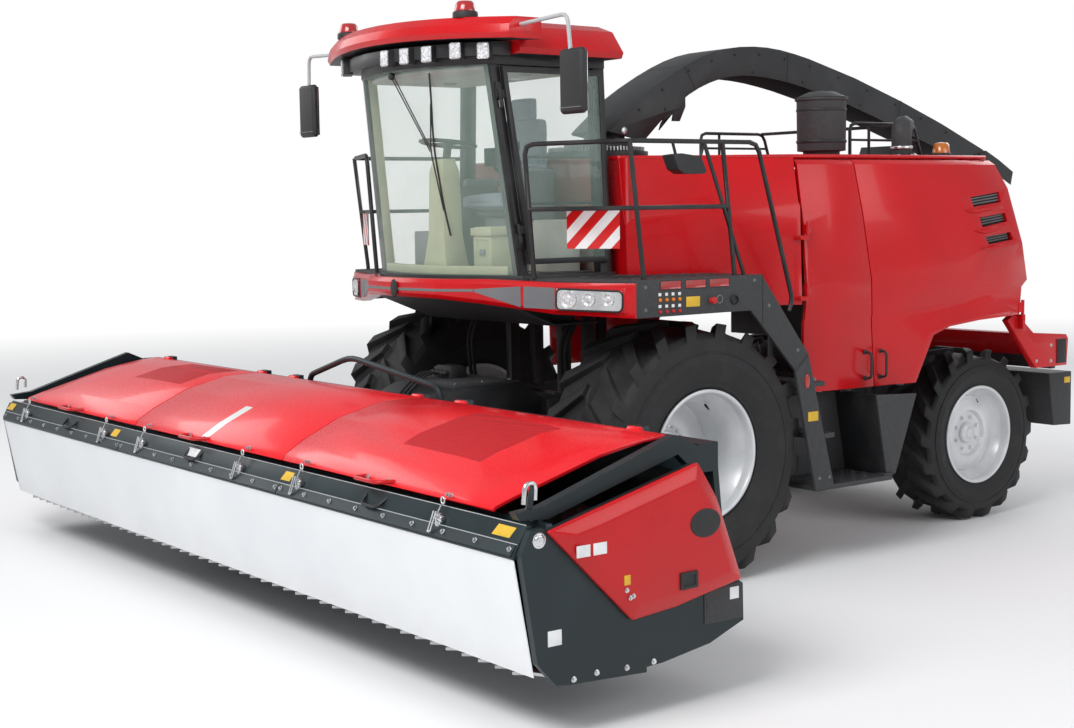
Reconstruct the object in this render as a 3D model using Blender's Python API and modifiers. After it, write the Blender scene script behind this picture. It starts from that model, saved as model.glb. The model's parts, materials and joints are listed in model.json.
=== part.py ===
# Self-propelled forage harvester with a wide direct-cut header.
# Metres, +Z up. The machine faces -Y and its left side is +X.
# Inside this file every length along Y counts from the front axle and every
# height from the ground. One empty then shifts the whole machine so that the
# origin is under the middle of its box.

import math

import bmesh
import bpy
from mathutils import Matrix, Vector

GAP = 0.0003
SIDES = (("left", 1), ("right", -1))

# Wheels
WHEELBASE = 3.388
FRONT_TYRE_RADIUS = 0.915
FRONT_TYRE_WIDTH = 0.79
FRONT_TRACK_HALF = 1.362
FRONT_RIM_RADIUS = 0.432
FRONT_LUGS = 20
REAR_TYRE_RADIUS = 0.707
REAR_TYRE_WIDTH = 0.54
REAR_TRACK_HALF = 1.07
REAR_RIM_RADIUS = 0.378
REAR_LUGS = 18
LUG_DEPTH = 0.045
LUG_SHARE = 0.34
RIM_WALL = 0.012
BEAD = 0.012

# Chassis
RAIL_INNER = 0.27
RAIL_OUTER = 0.37
RAIL_LOW = FRONT_TYRE_RADIUS + 0.165
RAIL_TOP = RAIL_LOW + 0.18
FRAME_FRONT = -0.22
FRAME_REAR = 4.18
OUTRIGGER_TOP = RAIL_TOP + 0.08
AXLE_BEAM_HALF_HEIGHT = 0.12
KINGPIN_X = 0.82
FRONT_DISC_X = 1.24
REAR_DISC_X = 1.16
HUB_RADIUS = 0.20

# Cab
CAB_HALF = 0.90
CAB_REAR = -0.16
CAB_FLOOR_LOW = 2.06
CAB_FLOOR_TOP = 2.17
CAB_CEILING = 3.60
CAB_TOP = 3.66
CAB_LEAN_IN = 0.047
SCREEN_FOOT_Y = -0.995
SCREEN_HEAD_Y = -1.165
SCREEN_BOW = 0.27
GLASS = 0.008
POST = 0.075
DOOR_THICK = 0.035
VISOR_HALF = 1.19
DOOR_LOW = 2.245
DOOR_HIGH = 3.585
CAB_DOOR_HINGES = (2.44, 3.36)

# Walkway, fenders and ladder
PLATFORM_TOP = 2.15
PLATFORM_THICK = 0.05
FENDER_OUTER = 1.80
FENDER_THICK = 0.025
DECK_BEAM_END = FENDER_OUTER - 0.20
RAIL_TUBE = 0.017
RAIL_HEIGHT = 3.055
RAIL_MIDDLE = 2.62
DECK_TOP = PLATFORM_TOP - 0.001
BOARD_THICK = 0.006

# Body
BODY_HALF = 1.65
OUTRIGGER_END = BODY_HALF - 0.15
REAR_BAR_END = BODY_HALF - 0.19
POST_INNER = BODY_HALF - 0.25
REAR_POST_INNER = BODY_HALF - 0.35
BODY_LOW = 1.25
BODY_TOP = 2.95
PANEL = 0.03
SEAM_Y = 1.60
SEAM_GAP = 0.006
SEAM_TOP_Y = 1.635
SEAM_LEAN = 0.10
DOOR_SEAM = 0.012
DOOR_FRONT = 1.10
FLARE_REACH = 0.045
BLADE_REACH = 0.018
ROOF_INSET = 0.135
DOOR_HINGES = (1.96, 2.40)
REAR_HINGE = (BODY_HALF - 0.08, 3.60, 1.70)
HOOD_THICK = 0.034
HOOD_BASE = BODY_TOP + SEAM_GAP

# Spout
TURRET_Y = 0.42
TURRET_RADIUS = 0.36
TURRET_TOP = 3.08
SPOUT_PIVOT_Y = 0.50
SPOUT_PIVOT_Z = 3.205
SPOUT_WALL = 0.012
FLAP_LENGTH = 0.415
FLAP_HINGE = (4.80, 3.04)
FLAP_SIDE_GAP = 0.007
FLAP_THICK = 0.006

# Feeder and header
LIFT_Y = -0.35
LIFT_Z = 1.05
LIFT_FOOT = (-0.20, 0.58)
LIFT_EYE = (-1.25, 0.47)
LIFT_X = 0.30
LIFT_PIN = 0.028
LIFT_DRIFT = 0.009
FEEDER_HALF = 0.40
FEEDER_FRONT = -1.58
HEADER_HALF = 3.66
HEADER_WALL_LOW = 0.44
HEADER_WALL_LEAN = 0.1
END_PLATE = 0.04
LID_HINGE_Y = -1.80
LID_HINGE_Z = 1.40
LID_HALF_SPAN = 3.35
LID_GAP = 0.012
LID_THICK = 0.018
LID_BARREL = 0.02
LID_HINGE_INSET = 0.25
BEAM_PIVOT_Y = -2.931
BEAM_PIVOT_Z = 1.033
BEAM_LIP_Y = -3.047
CURTAIN_LOW = 0.325
CURTAIN_THICK = 0.006
AUGER_Y = -2.02
AUGER_Z = 0.72
AUGER_TUBE = 0.14
AUGER_FLIGHT = 0.27


for old in list(bpy.data.objects):
    bpy.data.objects.remove(old, do_unlink=True)

harvester = bpy.data.collections.new("forage_harvester")
cutters = bpy.data.collections.new("cutters")
bpy.context.scene.collection.children.link(harvester)
bpy.context.scene.collection.children.link(cutters)

FINISHES = {
    # name: (red, green, blue, roughness, metallic)
    "red_paint": (0.72, 0.02, 0.03, 0.3, 0.0),
    "black_paint": (0.03, 0.03, 0.032, 0.5, 0.0),
    "speckled_grey": (0.06, 0.06, 0.065, 0.6, 0.0),
    "header_grey": (0.025, 0.04, 0.045, 0.45, 0.0),
    "rubber": (0.03, 0.03, 0.03, 0.8, 0.0),
    "rim_paint": (0.72, 0.73, 0.74, 0.35, 0.3),
    "steel": (0.5, 0.5, 0.5, 0.35, 1.0),
    "glass": (0.6, 0.75, 0.68, 0.05, 0.0),
    "curtain_cloth": (0.8, 0.81, 0.82, 0.8, 0.0),
    "lamp_lens": (0.8, 0.82, 0.85, 0.15, 0.2),
    "beacon_lens": (0.75, 0.05, 0.02, 0.2, 0.0),
    "cab_plastic": (0.45, 0.45, 0.38, 0.6, 0.0),
    "seat_cloth": (0.25, 0.26, 0.28, 0.9, 0.0),
}


def finish(name):
    material = bpy.data.materials.get(name)
    if material:
        return material
    red, green, blue, rough, metal = FINISHES[name]
    material = bpy.data.materials.new(name)
    material.use_nodes = True
    shader = material.node_tree.nodes["Principled BSDF"]
    shader.inputs["Base Color"].default_value = (red, green, blue, 1.0)
    shader.inputs["Roughness"].default_value = rough
    shader.inputs["Metallic"].default_value = metal
    return material


def pivot(name, place, parent=None):
    """An empty on a joint's axis; its place is given in the machine's own lengths."""
    empty = bpy.data.objects.new(name, None)
    harvester.objects.link(empty)
    empty["place"] = tuple(place)
    base = Vector(parent["place"]) if parent else Vector((0, 0, 0))
    empty.parent = parent
    empty.location = Vector(place) - base
    return empty


def add(ob, name, material, parent):
    """Names a piece, gives it its finish and hangs it on its parent empty."""
    ob.name = name
    ob.data.name = name
    for collection in list(ob.users_collection):
        collection.objects.unlink(ob)
    harvester.objects.link(ob)
    ob.data.materials.clear()
    ob.data.materials.append(finish(material))
    ob.location = ob.location - Vector(parent["place"])
    ob.parent = parent
    return ob


def guide(ob):
    """Turns an object into a hidden cutter or joining piece."""
    for collection in list(ob.users_collection):
        collection.objects.unlink(ob)
    cutters.objects.link(ob)
    ob.parent = machine
    ob.hide_render = True
    ob.display_type = "WIRE"
    return ob


def new_object(mesh):
    ob = bpy.data.objects.new(mesh.name, mesh)
    bpy.context.scene.collection.objects.link(ob)
    return ob


def from_bmesh(bm, smooth_angle=None):
    bmesh.ops.recalc_face_normals(bm, faces=bm.faces)
    mesh = bpy.data.meshes.new("piece")
    bm.to_mesh(mesh)
    bm.free()
    if smooth_angle:
        mesh.shade_smooth()
        mesh.set_sharp_from_angle(angle=math.radians(smooth_angle))
    return new_object(mesh)


def baked(ob):
    """A plain mesh object with the source's modifiers, or its curve, made real."""
    bpy.context.view_layer.update()
    graph = bpy.context.evaluated_depsgraph_get()
    mesh = bpy.data.meshes.new_from_object(ob.evaluated_get(graph))
    bm = bmesh.new()
    bm.from_mesh(mesh)
    bmesh.ops.remove_doubles(bm, verts=bm.verts, dist=0.00005)
    bmesh.ops.recalc_face_normals(bm, faces=bm.faces)
    bm.to_mesh(mesh)
    bm.free()
    result = new_object(mesh)
    result.matrix_world = ob.matrix_world
    bpy.data.objects.remove(ob, do_unlink=True)
    return result


def box(low, high):
    low, high = Vector(low), Vector(high)
    bm = bmesh.new()
    bmesh.ops.create_cube(bm, size=1.0)
    size = high - low
    bmesh.ops.scale(bm, vec=(abs(size.x), abs(size.y), abs(size.z)), verts=bm.verts)
    bmesh.ops.translate(bm, vec=(low + high) / 2, verts=bm.verts)
    return from_bmesh(bm)


def cylinder(start, end, radius, segments=16, end_radius=None):
    start, end = Vector(start), Vector(end)
    bm = bmesh.new()
    bmesh.ops.create_cone(bm, cap_ends=True, segments=segments, radius1=radius,
                          radius2=radius if end_radius is None else end_radius,
                          depth=(end - start).length)
    turn = Vector((0, 0, 1)).rotation_difference(end - start).to_matrix()
    bmesh.ops.rotate(bm, matrix=turn, verts=bm.verts, cent=(0, 0, 0))
    bmesh.ops.translate(bm, vec=(start + end) / 2, verts=bm.verts)
    return from_bmesh(bm, 40)


AXIS_FRAMES = {
    # the outline's first and second directions, then the direction of its depth
    "X": Matrix(((0, 0, 1, 0), (1, 0, 0, 0), (0, 1, 0, 0), (0, 0, 0, 1))),
    "Y": Matrix(((1, 0, 0, 0), (0, 0, 1, 0), (0, 1, 0, 0), (0, 0, 0, 1))),
    "Z": Matrix(((1, 0, 0, 0), (0, 1, 0, 0), (0, 0, 1, 0), (0, 0, 0, 1))),
}


def prism(outline, axis, low, high, holes=()):
    """A flat outline, with holes if any, drawn out along an axis from low to high."""
    curve = bpy.data.curves.new("outline", "CURVE")
    curve.dimensions = "2D"
    curve.fill_mode = "BOTH"
    curve.extrude = abs(high - low) / 2
    for loop in (outline, *holes):
        spline = curve.splines.new("POLY")
        spline.points.add(len(loop) - 1)
        for point, (u, v) in zip(spline.points, loop):
            point.co = (u, v, 0, 1)
        spline.use_cyclic_u = True
    ob = bpy.data.objects.new("outline", curve)
    bpy.context.scene.collection.objects.link(ob)
    solid = baked(ob)
    middle = (low + high) / 2
    solid.data.transform(AXIS_FRAMES[axis] @ Matrix.Translation((0, 0, middle)))
    bm = bmesh.new()
    bm.from_mesh(solid.data)
    bmesh.ops.recalc_face_normals(bm, faces=bm.faces)
    bm.to_mesh(solid.data)
    bm.free()
    return solid


def tube(points, radius, cyclic=False):
    curve = bpy.data.curves.new("tube", "CURVE")
    curve.dimensions = "3D"
    curve.bevel_depth = radius
    curve.bevel_resolution = 2
    curve.use_fill_caps = not cyclic
    spline = curve.splines.new("POLY")
    spline.points.add(len(points) - 1)
    for point, place in zip(spline.points, points):
        point.co = (*place, 1)
    spline.use_cyclic_u = cyclic
    ob = bpy.data.objects.new("tube", curve)
    bpy.context.scene.collection.objects.link(ob)
    return baked(ob)


def bent(points, radius, steps=4):
    """The same route with each inner corner rounded."""
    points = [Vector(p) for p in points]
    route = [points[0]]
    for before, corner, after in zip(points, points[1:], points[2:]):
        reach = min(radius, (corner - before).length / 2.1, (after - corner).length / 2.1)
        start = corner + (before - corner).normalized() * reach
        end = corner + (after - corner).normalized() * reach
        for i in range(steps + 1):
            t = i / steps
            route.append(start * (1 - t) ** 2 + corner * 2 * t * (1 - t) + end * t ** 2)
    route.append(points[-1])
    return route


def turned(profile, centre, axis, steps=32, closed=False):
    """A profile of (radius, height) pairs, top to bottom, turned about an axis."""
    mesh = bpy.data.meshes.new("profile")
    count = len(profile)
    edges = [(i, i + 1) for i in range(count - 1)]
    if closed:
        edges.append((count - 1, 0))
    mesh.from_pydata([(r, 0, h) for r, h in profile], edges, [])
    ob = new_object(mesh)
    screw = ob.modifiers.new("turn", "SCREW")
    screw.steps = steps
    screw.render_steps = steps
    screw.use_merge_vertices = True
    screw.merge_threshold = 0.0001
    solid = baked(ob)
    turn = Vector((0, 0, 1)).rotation_difference(Vector(axis)).to_matrix().to_4x4()
    solid.data.transform(Matrix.Translation(centre) @ turn)
    solid.data.shade_smooth()
    solid.data.set_sharp_from_angle(angle=math.radians(35))
    return solid


def loft(sections, capped=True):
    """A skin through rings of points; every ring has as many points."""
    bm = bmesh.new()
    rings = [[bm.verts.new(p) for p in ring] for ring in sections]
    for ring, following in zip(rings, rings[1:]):
        count = len(ring)
        for i in range(count):
            j = (i + 1) % count
            bm.faces.new((ring[i], ring[j], following[j], following[i]))
    if capped:
        bm.faces.new(rings[0])
        bm.faces.new(rings[-1])
    return from_bmesh(bm)


def shell(rows, thickness, away):
    """An open sheet through rows of points, thickened on the side away from a point."""
    bm = bmesh.new()
    grid = [[bm.verts.new(p) for p in row] for row in rows]
    for row, following in zip(grid, grid[1:]):
        for i in range(len(row) - 1):
            bm.faces.new((row[i], row[i + 1], following[i + 1], following[i]))
    bmesh.ops.recalc_face_normals(bm, faces=bm.faces)
    bm.faces.ensure_lookup_table()
    middle = bm.faces[len(bm.faces) // 2]
    outward = middle.normal.dot(middle.calc_center_median() - Vector(away)) > 0
    if not outward:
        bmesh.ops.reverse_faces(bm, faces=bm.faces)
    mesh = bpy.data.meshes.new("sheet")
    bm.to_mesh(mesh)
    bm.free()
    ob = new_object(mesh)
    solid = ob.modifiers.new("wall", "SOLIDIFY")
    solid.thickness = thickness
    solid.offset = -1.0
    solid.use_even_offset = True
    return baked(ob)


def joined(parts):
    """Loose shapes put into one object, to serve as one cutter or one union."""
    bm = bmesh.new()
    for part in parts:
        piece = part.data.copy()
        piece.transform(part.matrix_world)
        bm.from_mesh(piece)
        bpy.data.meshes.remove(piece)
        bpy.data.objects.remove(part, do_unlink=True)
    mesh = bpy.data.meshes.new("joined")
    bm.to_mesh(mesh)
    bm.free()
    return new_object(mesh)


def boolean(ob, other, operation):
    modifier = ob.modifiers.new(operation.lower(), "BOOLEAN")
    modifier.operation = operation
    modifier.solver = "EXACT"
    modifier.object = guide(other)
    return ob


def fused(parts):
    for other in parts[1:]:
        boolean(parts[0], other, "UNION")
    return parts[0]


def cut(ob, parts):
    return boolean(ob, joined(parts), "DIFFERENCE")


def softened(ob, width, segments=1, angle=30):
    bevel = ob.modifiers.new("edges", "BEVEL")
    bevel.width = width
    bevel.segments = segments
    bevel.limit_method = "ANGLE"
    bevel.angle_limit = math.radians(angle)
    return ob


def turning_bore(radius, segments=16):
    """A bore's radius whose flats clear a faceted shaft's corners as it turns."""
    return (radius + GAP) / math.cos(math.pi / segments)


def mirrored(points, side):
    return [(side * x, y, z) for x, y, z in points]


def boxes(rows):
    """Boxes from a table of low and high corners: x, x, y, y, z, z."""
    return [box((x0, y0, z0), (x1, y1, z1)) for x0, x1, y0, y1, z0, z1 in rows]


machine = bpy.data.objects.new("machine_origin", None)
harvester.objects.link(machine)
machine["place"] = (0.0, 0.0, 0.0)
feeder_axis = pivot("feeder_axis", (0, LIFT_Y, LIFT_Z), machine)


def tyre(side, centre, radius, width, rim_radius, lugs):
    """A ribbed tyre: each lug is a slanted bar raised out of the tread."""
    half = width / 2
    tread = radius - LUG_DEPTH
    profile = [
        # across the tyre, radius, slant of the lug lines in pitches
        (-0.80 * half, rim_radius + BEAD, 0.95),
        (-1.00 * half, rim_radius + 0.50 * (tread - rim_radius), 0.95),
        (-0.93 * half, rim_radius + 0.86 * (tread - rim_radius), 0.95),
        (-0.84 * half, tread - 0.018, 0.80),
        (-0.10 * half, tread, 0.0),
        (0.10 * half, tread, 0.5),
        (0.84 * half, tread - 0.018, 1.30),
        (0.93 * half, rim_radius + 0.86 * (tread - rim_radius), 1.45),
        (1.00 * half, rim_radius + 0.50 * (tread - rim_radius), 1.45),
        (0.80 * half, rim_radius + BEAD, 1.95),
    ]
    pitch = 2 * math.pi / lugs
    bm = bmesh.new()
    rings = []
    for across, ring_radius, slant in profile:
        ring = []
        for i in range(2 * lugs):
            turn = (i // 2 + (LUG_SHARE if i % 2 else 0.0) + slant) * pitch
            ring.append(bm.verts.new((side * across + centre[0],
                                      -ring_radius * math.sin(turn) + centre[1],
                                      ring_radius * math.cos(turn) + centre[2])))
        rings.append(ring)
    lug_faces = [[] for _ in range(2 * lugs)]
    rings.append(rings[0][2:] + rings[0][:2])
    for k in range(len(rings) - 1):
        for i in range(2 * lugs):
            j = (i + 1) % (2 * lugs)
            face = bm.faces.new((rings[k][i], rings[k][j], rings[k + 1][j], rings[k + 1][i]))
            if i % 2 == 0 and k in (2, 3):
                lug_faces[i].append(face)
            if i % 2 == 0 and k in (5, 6):
                lug_faces[i + 1].append(face)
    bmesh.ops.recalc_face_normals(bm, faces=bm.faces)
    for group in lug_faces:
        if not group:
            continue
        raised = bmesh.ops.extrude_face_region(bm, geom=group)
        bmesh.ops.delete(bm, geom=group, context="FACES")
        for item in raised["geom"]:
            if isinstance(item, bmesh.types.BMVert):
                out = Vector((0, item.co.y - centre[1], item.co.z - centre[2]))
                share = (radius if out.length > tread - 0.03 else out.length + 0.014) / out.length
                item.co.y = centre[1] + out.y * share
                item.co.z = centre[2] + out.z * share
    return from_bmesh(bm, 35)


def wheels():
    for word, side in SIDES:
        centre = (side * FRONT_TRACK_HALF, 0, FRONT_TYRE_RADIUS)
        axle = pivot(f"front_wheel_{word}_axis", centre, machine)
        wheel = tyre(side, centre, FRONT_TYRE_RADIUS, FRONT_TYRE_WIDTH, FRONT_RIM_RADIUS, FRONT_LUGS)
        add(wheel, f"front_tyre_{word}", "rubber", axle)
        rim = rim_solid(FRONT_TRACK_HALF, FRONT_TYRE_WIDTH, FRONT_RIM_RADIUS, FRONT_LUGS, FRONT_DISC_X,
                        side, (0, FRONT_TYRE_RADIUS))
        add(rim, f"front_rim_{word}", "rim_paint", axle)
        steer = pivot(f"rear_steer_{word}_axis", (side * KINGPIN_X, WHEELBASE, REAR_TYRE_RADIUS), machine)
        centre = (side * REAR_TRACK_HALF, WHEELBASE, REAR_TYRE_RADIUS)
        axle = pivot(f"rear_wheel_{word}_axis", centre, steer)
        wheel = tyre(side, centre, REAR_TYRE_RADIUS, REAR_TYRE_WIDTH, REAR_RIM_RADIUS, REAR_LUGS)
        add(wheel, f"rear_tyre_{word}", "rubber", axle)
        rim = rim_solid(REAR_TRACK_HALF, REAR_TYRE_WIDTH, REAR_RIM_RADIUS, REAR_LUGS, REAR_DISC_X,
                        side, (WHEELBASE, REAR_TYRE_RADIUS))
        add(rim, f"rear_rim_{word}", "rim_paint", axle)
        knuckle(word, side, steer)


def rim_solid(track_half, tyre_width, rim_radius, lugs, disc_x, side, centre):
    """A drop-centre rim with its disc, one closed turned profile."""
    half = 0.80 * tyre_width / 2
    outer = track_half + half + 0.03
    inner = track_half - half - 0.03
    flat = math.cos((1 - LUG_SHARE) * math.pi / lugs)
    bead = (rim_radius + BEAD) * flat - GAP
    well = rim_radius - 0.055
    edge = track_half + half
    back = track_half - half
    profile = [
        # radius, place along the axle; down the outer side, then back inside
        (bead + 0.018, outer),
        (bead + 0.018, edge + 0.011),
        (bead, edge + 0.004),
        (bead, edge - 0.05),
        (well, edge - 0.12),
        (well, back + 0.12),
        (bead, back - 0.004),
        (bead + 0.018, back - 0.011),
        (bead + 0.018, inner),
        (bead - RIM_WALL, inner),
        (well - RIM_WALL, back + 0.11),
        (well - RIM_WALL, disc_x - 0.01),
        (HUB_RADIUS, disc_x),
        (0.05, disc_x),
        (0.05, disc_x + 0.016),
        (HUB_RADIUS + 0.01, disc_x + 0.016),
        (well - RIM_WALL, disc_x + 0.02),
        (well - RIM_WALL, edge - 0.11),
        (bead - RIM_WALL, outer),
    ]
    return turned(profile, (0, *centre), (side, 0, 0), lugs + 2, closed=True)


def knuckle(word, side, steer):
    """Kingpin post, spindle and wheel flange that steer together."""
    y, z = WHEELBASE, REAR_TYRE_RADIUS
    post = cylinder((side * KINGPIN_X, y, z - 0.13 + GAP), (side * KINGPIN_X, y, z + 0.13 - GAP), 0.055)
    spindle = cylinder((side * (KINGPIN_X + 0.01), y, z), (side * (REAR_DISC_X - 0.03), y, z), 0.06)
    flange = cylinder((side * (REAR_DISC_X - 0.06), y, z), (side * (REAR_DISC_X - GAP), y, z), 0.15, 24)
    add(fused([post, spindle, flange]), f"knuckle_{word}", "black_paint", steer)


def chassis():
    middle_low = RAIL_LOW + 0.02
    middle_top = RAIL_TOP - 0.02
    rows = []
    for s in (1, -1):
        # rails, then posts and brackets: x, x, y, y, z, z
        rows += [
            (s * RAIL_INNER, s * RAIL_OUTER, FRAME_FRONT, FRAME_REAR, RAIL_LOW, RAIL_TOP),
            (s * 0.28, s * 0.36, -0.15, 0.15, FRONT_TYRE_RADIUS + AXLE_BEAM_HALF_HEIGHT + GAP, RAIL_LOW + 0.02),
            (s * 0.29, s * 0.36, -0.21, -0.13, RAIL_TOP - 0.03, CAB_FLOOR_LOW - GAP),
            (s * 0.29, s * 0.36, 0.02, 0.10, RAIL_TOP - 0.03, BODY_TOP - 0.10),
            (s * POST_INNER, s * (POST_INNER + 0.06), SEAM_Y - 0.05, SEAM_Y + 0.03, OUTRIGGER_TOP - 0.03, HOOD_BASE - GAP),
            (s * REAR_POST_INNER, s * (REAR_POST_INNER + 0.06), 3.10, 3.18, 2.30, HOOD_BASE - GAP),
            (s * 0.35, s * (REAR_POST_INNER + 0.03), 3.11, 3.17, 2.40, 2.46),
            (s * 0.29, s * 0.36, 3.45, 3.53, RAIL_TOP - 0.03, 2.43),
            # beams under the walkway decks
            (s * 0.30, s * DECK_BEAM_END, -0.20, -0.14, 1.97, CAB_FLOOR_LOW - GAP),
            (s * (CAB_HALF + 0.05), s * DECK_BEAM_END, -0.20, -0.14, 2.00, PLATFORM_TOP - PLATFORM_THICK - GAP),
        ]
    for y in (FRAME_FRONT + 0.01, 0.92, 2.02, WHEELBASE - 0.08, 4.04):
        rows.append((-0.30, 0.30, y, y + 0.14, middle_low, middle_top))
    for y0, y1 in ((SEAM_Y - 0.07, SEAM_Y + 0.05), (2.16, 2.24)):
        rows.append((-OUTRIGGER_END, OUTRIGGER_END, y0, y1, RAIL_TOP - 0.04, OUTRIGGER_TOP))
    rows.append((-REAR_BAR_END, REAR_BAR_END, 4.13, 4.19, RAIL_TOP - 0.05, RAIL_TOP + 0.05))
    rows.append((-0.12, 0.12, WHEELBASE - 0.075, WHEELBASE + 0.075,
                 REAR_TYRE_RADIUS + 0.09 + GAP, RAIL_LOW + 0.03))
    ears = [box((s * 0.4703, LIFT_Y - 0.10, 0.93), (s * 0.50, FRAME_FRONT + 0.08, RAIL_TOP - 0.02))
            for s in (1, -1)]
    parts = boxes(rows)
    ties = boxes([(s * 0.34, s * 0.49, FRAME_FRONT + 0.005, FRAME_FRONT + 0.07, RAIL_LOW + 0.01, RAIL_TOP - 0.03)
                  for s in (1, -1)])
    arm_low, arm_high, arm_x = 2.405, 2.455, 0.355
    arms = [prism([(3.12, arm_low), (tail_inside(arm_x, arm_low), arm_low), (tail_inside(arm_x, arm_high), arm_high),
                   (3.12, arm_high)], "X", s * 0.30, s * arm_x) for s in (1, -1)]
    add(fused(parts + ears + ties + arms), "main_frame", "black_paint", machine)

    beam = box((-0.86, -0.13, FRONT_TYRE_RADIUS - AXLE_BEAM_HALF_HEIGHT),
               (0.86, 0.13, FRONT_TYRE_RADIUS + AXLE_BEAM_HALF_HEIGHT))
    ends = []
    for s in (1, -1):
        for start, end, radius in ((0.80, FRONT_DISC_X - 0.06, 0.22), (FRONT_DISC_X - 0.08, FRONT_DISC_X - GAP, 0.17)):
            ends.append(cylinder((s * start, 0, FRONT_TYRE_RADIUS), (s * end, 0, FRONT_TYRE_RADIUS), radius, 24))
    foot_y, foot_z = LIFT_FOOT
    lug_top = FRONT_TYRE_RADIUS - AXLE_BEAM_HALF_HEIGHT + 0.025
    lugs = boxes([(s * (LIFT_X + 0.055), s * (LIFT_X + 0.085), foot_y - 0.06, -0.06, foot_z - 0.05, lug_top)
                  for s in (1, -1)])
    bore = cylinder((-0.5, foot_y, foot_z), (0.5, foot_y, foot_z), turning_bore(LIFT_PIN))
    add(cut(fused([beam] + ends + lugs), [bore]), "front_axle", "black_paint", machine)

    z = REAR_TYRE_RADIUS
    beam = box((-0.72, WHEELBASE - 0.09, z - 0.09), (0.72, WHEELBASE + 0.09, z + 0.09))
    forks = []
    for s in (1, -1):
        forks.append(box((s * 0.68, WHEELBASE - 0.08, z - 0.17), (s * 0.745, WHEELBASE + 0.08, z + 0.17)))
        forks.append(box((s * 0.70, WHEELBASE - 0.07, z + 0.13), (s * 0.88, WHEELBASE + 0.07, z + 0.168)))
        forks.append(box((s * 0.70, WHEELBASE - 0.07, z - 0.168), (s * 0.88, WHEELBASE + 0.07, z - 0.13)))
    boss = cylinder((0, WHEELBASE - 0.12, z), (0, WHEELBASE + 0.12, z), 0.07)
    add(fused([beam, boss] + forks), "rear_axle", "black_paint", machine)

    engine = boxes([(-0.72, 0.72, 2.50, 3.05, 1.50, 2.30),
                    (-0.60, 0.60, 2.58, 2.98, 2.28, 2.48),
                    (-0.36, -0.28, 2.60, 2.95, RAIL_TOP + GAP, 1.52),
                    (0.28, 0.36, 2.60, 2.95, RAIL_TOP + GAP, 1.52)])
    add(fused(engine), "engine_block", "black_paint", machine)


TAIL_BEHIND_DOOR = 0.08
TAIL_LEVELS = [
    # height, how far the side stands in, rear edge of the door beside it
    (1.70, 0.01, 3.56),
    (1.93, 0.0, 3.58),
    (1.985, 0.0, 3.64),
    (2.285, 0.0, 3.54),
    (2.727, 0.04, 3.39),
    (BODY_TOP - 0.035, 0.10, 3.29),
    (BODY_TOP, 0.13, 3.26),
]


def tail_back(x, rear):
    """Where the outside of the tail panel stands at a distance from the middle."""
    return rear + TAIL_BEHIND_DOOR + 0.09 - 0.03 * abs(x) / 1.25


def tail_inside(x, z):
    """A point just clear of the tail panel's inner face, between two of its levels."""
    for (low, _, rear_low), (high, _, rear_high) in zip(TAIL_LEVELS, TAIL_LEVELS[1:]):
        if low <= z <= high:
            slope = (rear_high - rear_low) / (high - low)
            outside = tail_back(x, rear_low + slope * (z - low))
            return outside - PANEL * math.sqrt(1 + slope ** 2 + 0.024 ** 2) - GAP


BODY_LEVELS = [
    # height at the seam, height at the rear, how far the side stands in, rear edge of the door
    (BODY_LOW, BODY_LOW, 0.045, 3.56),
    (1.60, 1.70, 0.035, 3.56),
    (1.765, 1.93, 0.03, 3.58),
    (1.80, 1.985, 0.018, 3.64),
    (2.058, 2.285, 0.0, 3.54),
    (2.556, 2.727, 0.045, 3.39),
    (BODY_TOP - 0.035, BODY_TOP - 0.035, 0.10, 3.29),
    (BODY_TOP, BODY_TOP, ROOF_INSET, 3.26),
]

DOOR_SLOTS = [
    # front top, rear top, rear low and front low corner, each along and up
    ((2.903, 2.659), (3.270, 2.698), (3.290, 2.617), (2.935, 2.582)),
    ((2.998, 2.497), (3.330, 2.532), (3.360, 2.462), (3.030, 2.420)),
    ((3.056, 2.345), (3.390, 2.378), (3.420, 2.315), (3.094, 2.283)),
]

FLARE_TABLE = [
    # edge of the wheel opening, then the line where the flare meets the door
    ((2.217, 1.251), (1.895, 1.251)),
    ((2.410, 1.605), (2.032, 1.724)),
    ((2.600, 1.661), (2.330, 1.768)),
    ((2.955, 1.691), (3.110, 1.885)),
    ((3.450, 1.706), (3.530, 1.742)),
]


def seam_y(z):
    """The seam between the side's two doors, which leans back going down."""
    return SEAM_TOP_Y + (BODY_TOP - z) * SEAM_LEAN


def side_x(y, z):
    """How far out the rear door's skin stands at a place."""
    levels = []
    for low, rear_low, inset, rear in BODY_LEVELS:
        start = seam_y(low)
        share = min(1.0, max(0.0, (y - start) / (rear - start)))
        levels.append((low + (rear_low - low) * share, inset))
    for (low, inset), (high, inset_high) in zip(levels, levels[1:]):
        if low <= z <= high:
            return body_half(y) - inset - (inset_high - inset) * (z - low) / (high - low)
    return body_half(y) - levels[0][1]


def body_half(y):
    """Half the body's width at its widest line, by distance behind the axle."""
    if y < 1.10:
        return BODY_HALF - 0.07 - (1.10 - y) * 0.55
    if y < SEAM_Y:
        return BODY_HALF - 0.07 + (y - 1.10) / (SEAM_Y - 1.10) * 0.06
    return BODY_HALF - 0.01 - max(0.0, y - 2.6) ** 2 * 0.04


def door_flare(side):
    """The raised lip that runs round the rear wheel's opening."""
    rings = []
    for (edge_y, edge_z), (top_y, top_z) in FLARE_TABLE:
        fold_y = edge_y + 0.16 * (top_y - edge_y)
        fold_z = edge_z + 0.16 * (top_z - edge_z)
        skin = side_x(edge_y, edge_z)
        rings.append(mirrored([(skin - 0.018, edge_y, edge_z), (skin + FLARE_REACH, edge_y, edge_z),
                               (skin + FLARE_REACH, fold_y, fold_z),
                               (side_x(top_y, top_z) - 0.003, top_y, top_z)], side))
    return loft(rings)


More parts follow.
